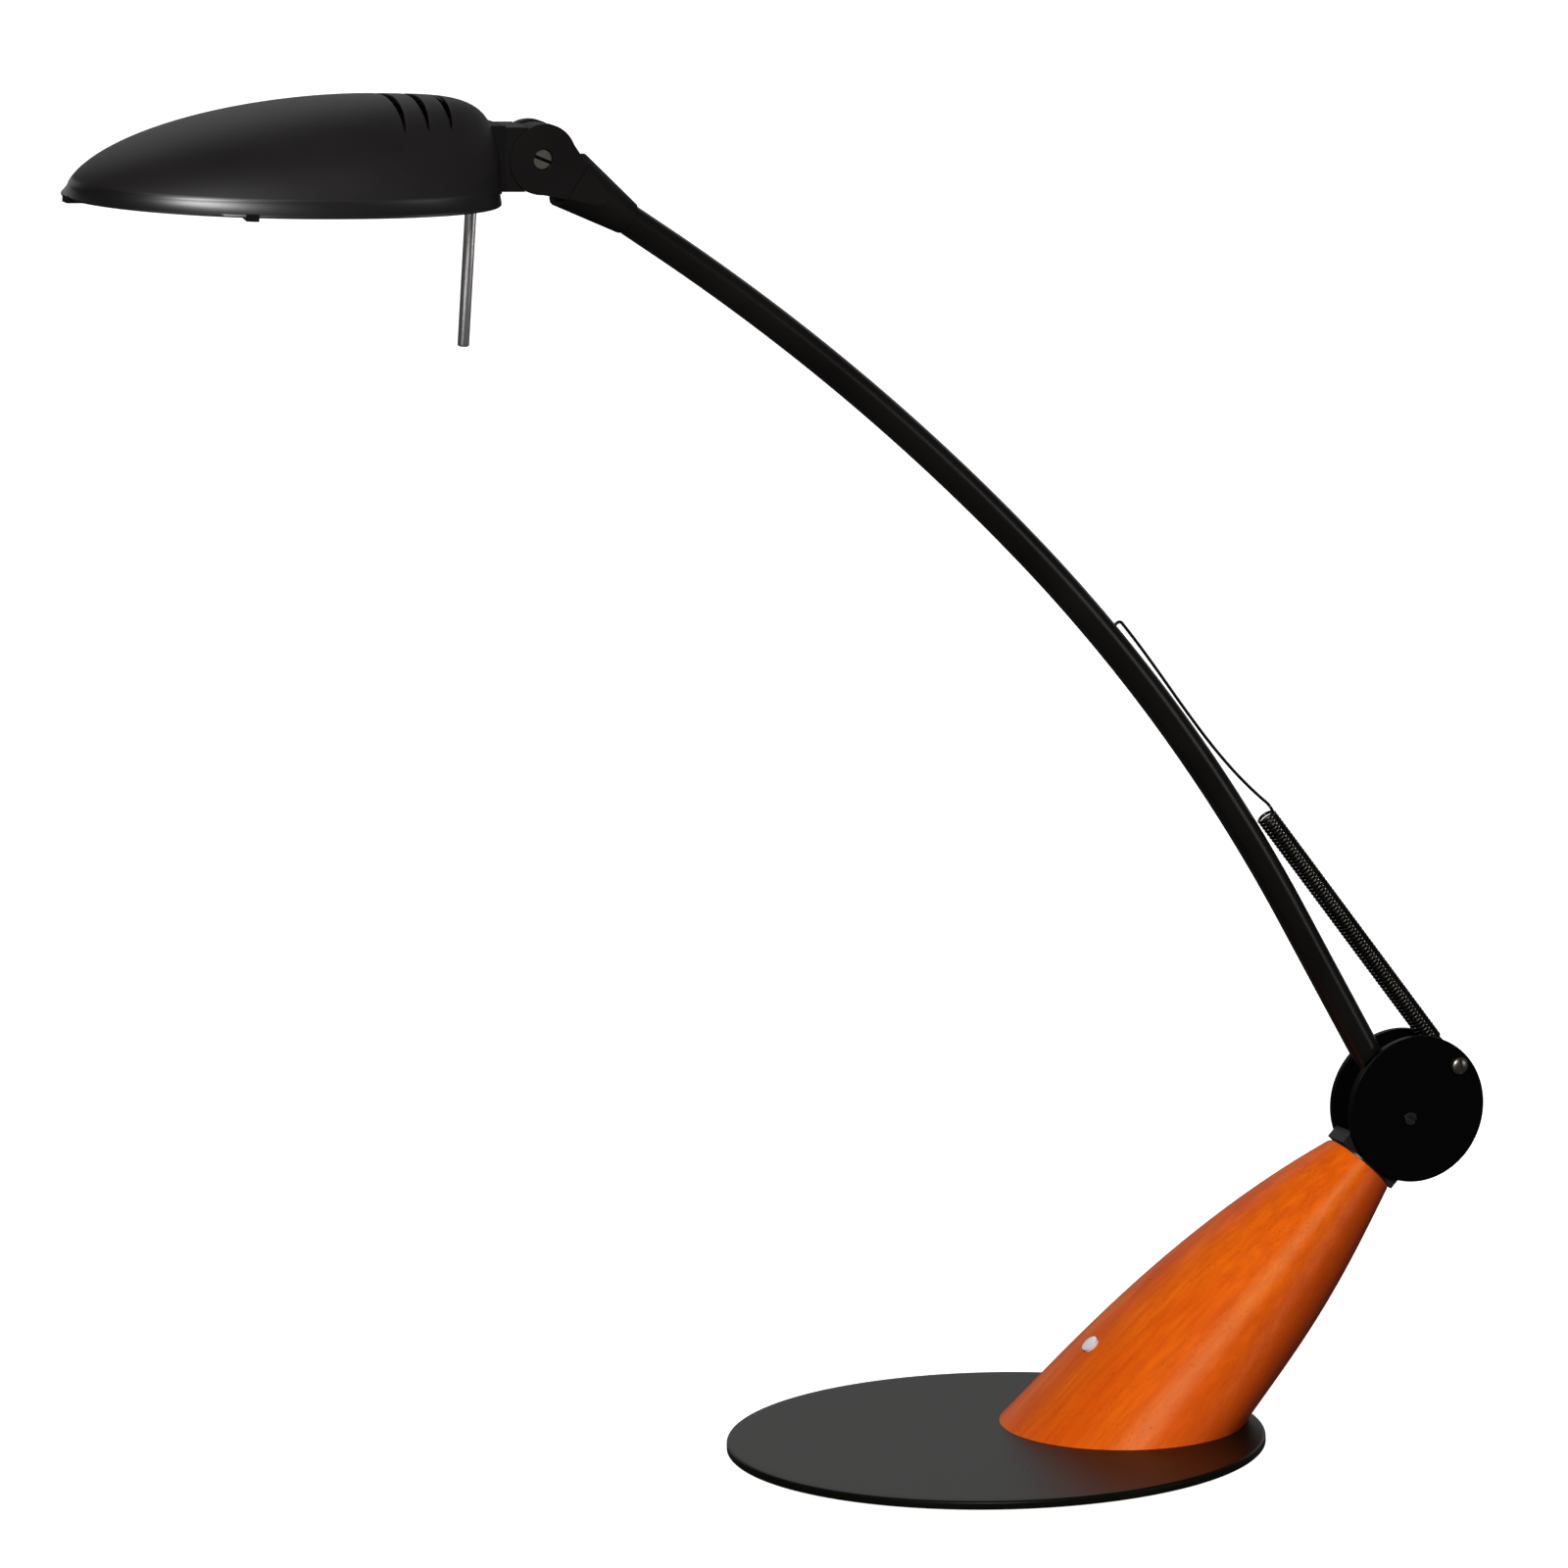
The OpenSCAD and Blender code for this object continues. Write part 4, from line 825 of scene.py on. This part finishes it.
# Painted shade: a far darker copy of the black paint for the discs and rivets stands for the shade on their
# faces.
shaded_disc_black = painted("black_with_painted_shade", (0.0007, 0.0007, 0.0007), (0.0012, 0.0012, 0.0011),
                     rough=0.4, grain=2600.0, depth=0.000003, level=0.06)
bracket_grey = painted("bracket_grey", (0.009, 0.0085, 0.009), (0.013, 0.012, 0.013),
                       rough=0.45, grain=2200.0, depth=0.000012, level=0.3)
plate_grey = painted("plate_grey", (0.0028, 0.0028, 0.0014), (0.0044, 0.0044, 0.0026),
                     rough=0.34, grain=2200.0, depth=0.000008, level=0.07)
bright = metal("bright_steel", (0.62, 0.6, 0.59), (0.78, 0.76, 0.75), 0.3,
               stretch=(6, 6, 0.03), depth=0.0000004)
# The switch button is light satin metal. Its near-white tone is also a painted reflection of the white
# surroundings.
button_painted_reflection = metal("satin_button", (0.84, 0.83, 0.84), (0.92, 0.91, 0.92), 0.34, metallic=0.2)
screw_face = min(vertex.co.y for vertex in nodes["hinge_screw"].data.vertices)
nickel = metal("dull_nickel", (0.34, 0.34, 0.28), (0.5, 0.5, 0.43), 0.34)
# The hinge screw's slot is darkened with painted shade below its face.
slotted = metal("slotted_nickel", (0.30, 0.30, 0.25), (0.44, 0.44, 0.38), 0.34,
                slot_shade_y=screw_face + MM * GROOVE_LEVEL)
screw_bright = metal("screw_nickel", (0.20, 0.187, 0.16), (0.28, 0.26, 0.22), 0.3)
dark_steel = metal("black_oxide", (0.07, 0.068, 0.06), (0.11, 0.105, 0.095), 0.3)
zinc = metal("zinc_steel", (0.5, 0.5, 0.5), (0.64, 0.64, 0.63), 0.3)
wire = metal("spring_wire", (0.024, 0.0215, 0.0175), (0.04, 0.036, 0.03), 0.24)
iron = metal("sheet_iron", (0.12, 0.125, 0.13), (0.2, 0.2, 0.21), 0.45, stretch=(0.2, 0.2, 5))
aluminium = metal("polished_aluminium", (0.72, 0.72, 0.71), (0.82, 0.82, 0.81), 0.18)
plastic_black = plastic("moulded_black", (0.008, 0.008, 0.008), (0.014, 0.014, 0.014), 0.45)
rubber = plastic("black_rubber", (0.0015, 0.0014, 0.0014), (0.0025, 0.0024, 0.0023), 0.7)
nylon = plastic("nylon", (0.62, 0.6, 0.55), (0.72, 0.7, 0.65), 0.4)
ceramic = plastic("glazed_ceramic", (0.66, 0.62, 0.54), (0.74, 0.7, 0.62), 0.22)
glass = clear("clear_glass", (0.95, 0.98, 0.97), 0.02)
quartz = clear("quartz", (0.97, 0.98, 0.99), 0.0)
wood = stained_wood()

NODE_FINISH = {
    "base_pad": felt(), "foot_screws": zinc, "transformer_core": iron, "transformer_coil": copper(),
    "transformer_screws": zinc, "switch_body": plastic_black, "switch_button": button_painted_reflection,
    "cord_gland": plastic_black, "tie_tube": zinc, "top_collar": black, "pivot_bracket": bracket_grey,
    "front_disc": shaded_disc_black, "rear_disc": shaded_disc_black, "disc_rivets": shaded_disc_black, "pivot_bolt": dark_steel,
    "pivot_nut": dark_steel, "pivot_washers": nylon, "anchor_nut": dark_steel, "arm_eye": black,
    "arm_sleeve": matt_black, "head_fork": matt_black, "hinge_screw": slotted, "hinge_nut": nickel,
    "hinge_washers": nylon, "head_neck": matt_black, "neck_gasket": rubber, "neck_screws": zinc,
    "shade_bracket": aluminium,
    "handle_rod": bright, "reflector": aluminium, "lamp_holder": ceramic, "holder_post": aluminium,
    "bulb": quartz, "front_glass": glass, "glass_clips": black,
}
for name, material in NODE_FINISH.items():
    nodes[name].data.materials.clear()
    nodes[name].data.materials.append(material)

# Edge radii of the CAD pieces in view, in millimetres
SOFT_EDGES = {"head_fork": 0.5, "head_neck": 0.5, "pivot_bracket": 0.4, "hinge_screw": 0.15,
              "glass_clips": 0.25, "handle_rod": 0.2, "pivot_bolt": 0.3}
for name, width in SOFT_EDGES.items():
    soften(nodes[name], width)

# Pieces that stand for CAD nodes
spring, spring_axis = make_spring()
SWAPS = (
    (make_plate(), "base_plate", "base", plate_grey, "plate_paint"),
    (make_foot(), "foot", "base", wood, "stained_wood"),
    (make_arm(), "arm_tube", "arm", black, "black_metal"),
    (make_anchor_screw(), "anchor_screw", "base", screw_bright, "dull_nickel"),
    (make_shade(), "shade", "head", shade_paint(), "shade_paint"),
    (spring, "balance_spring", None, wire, "spring_steel"),
)
for piece, node, body, material, slot in SWAPS:
    piece.data.materials.append(material)
    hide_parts(node)
    if body:
        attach(piece, body)
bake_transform(spring)
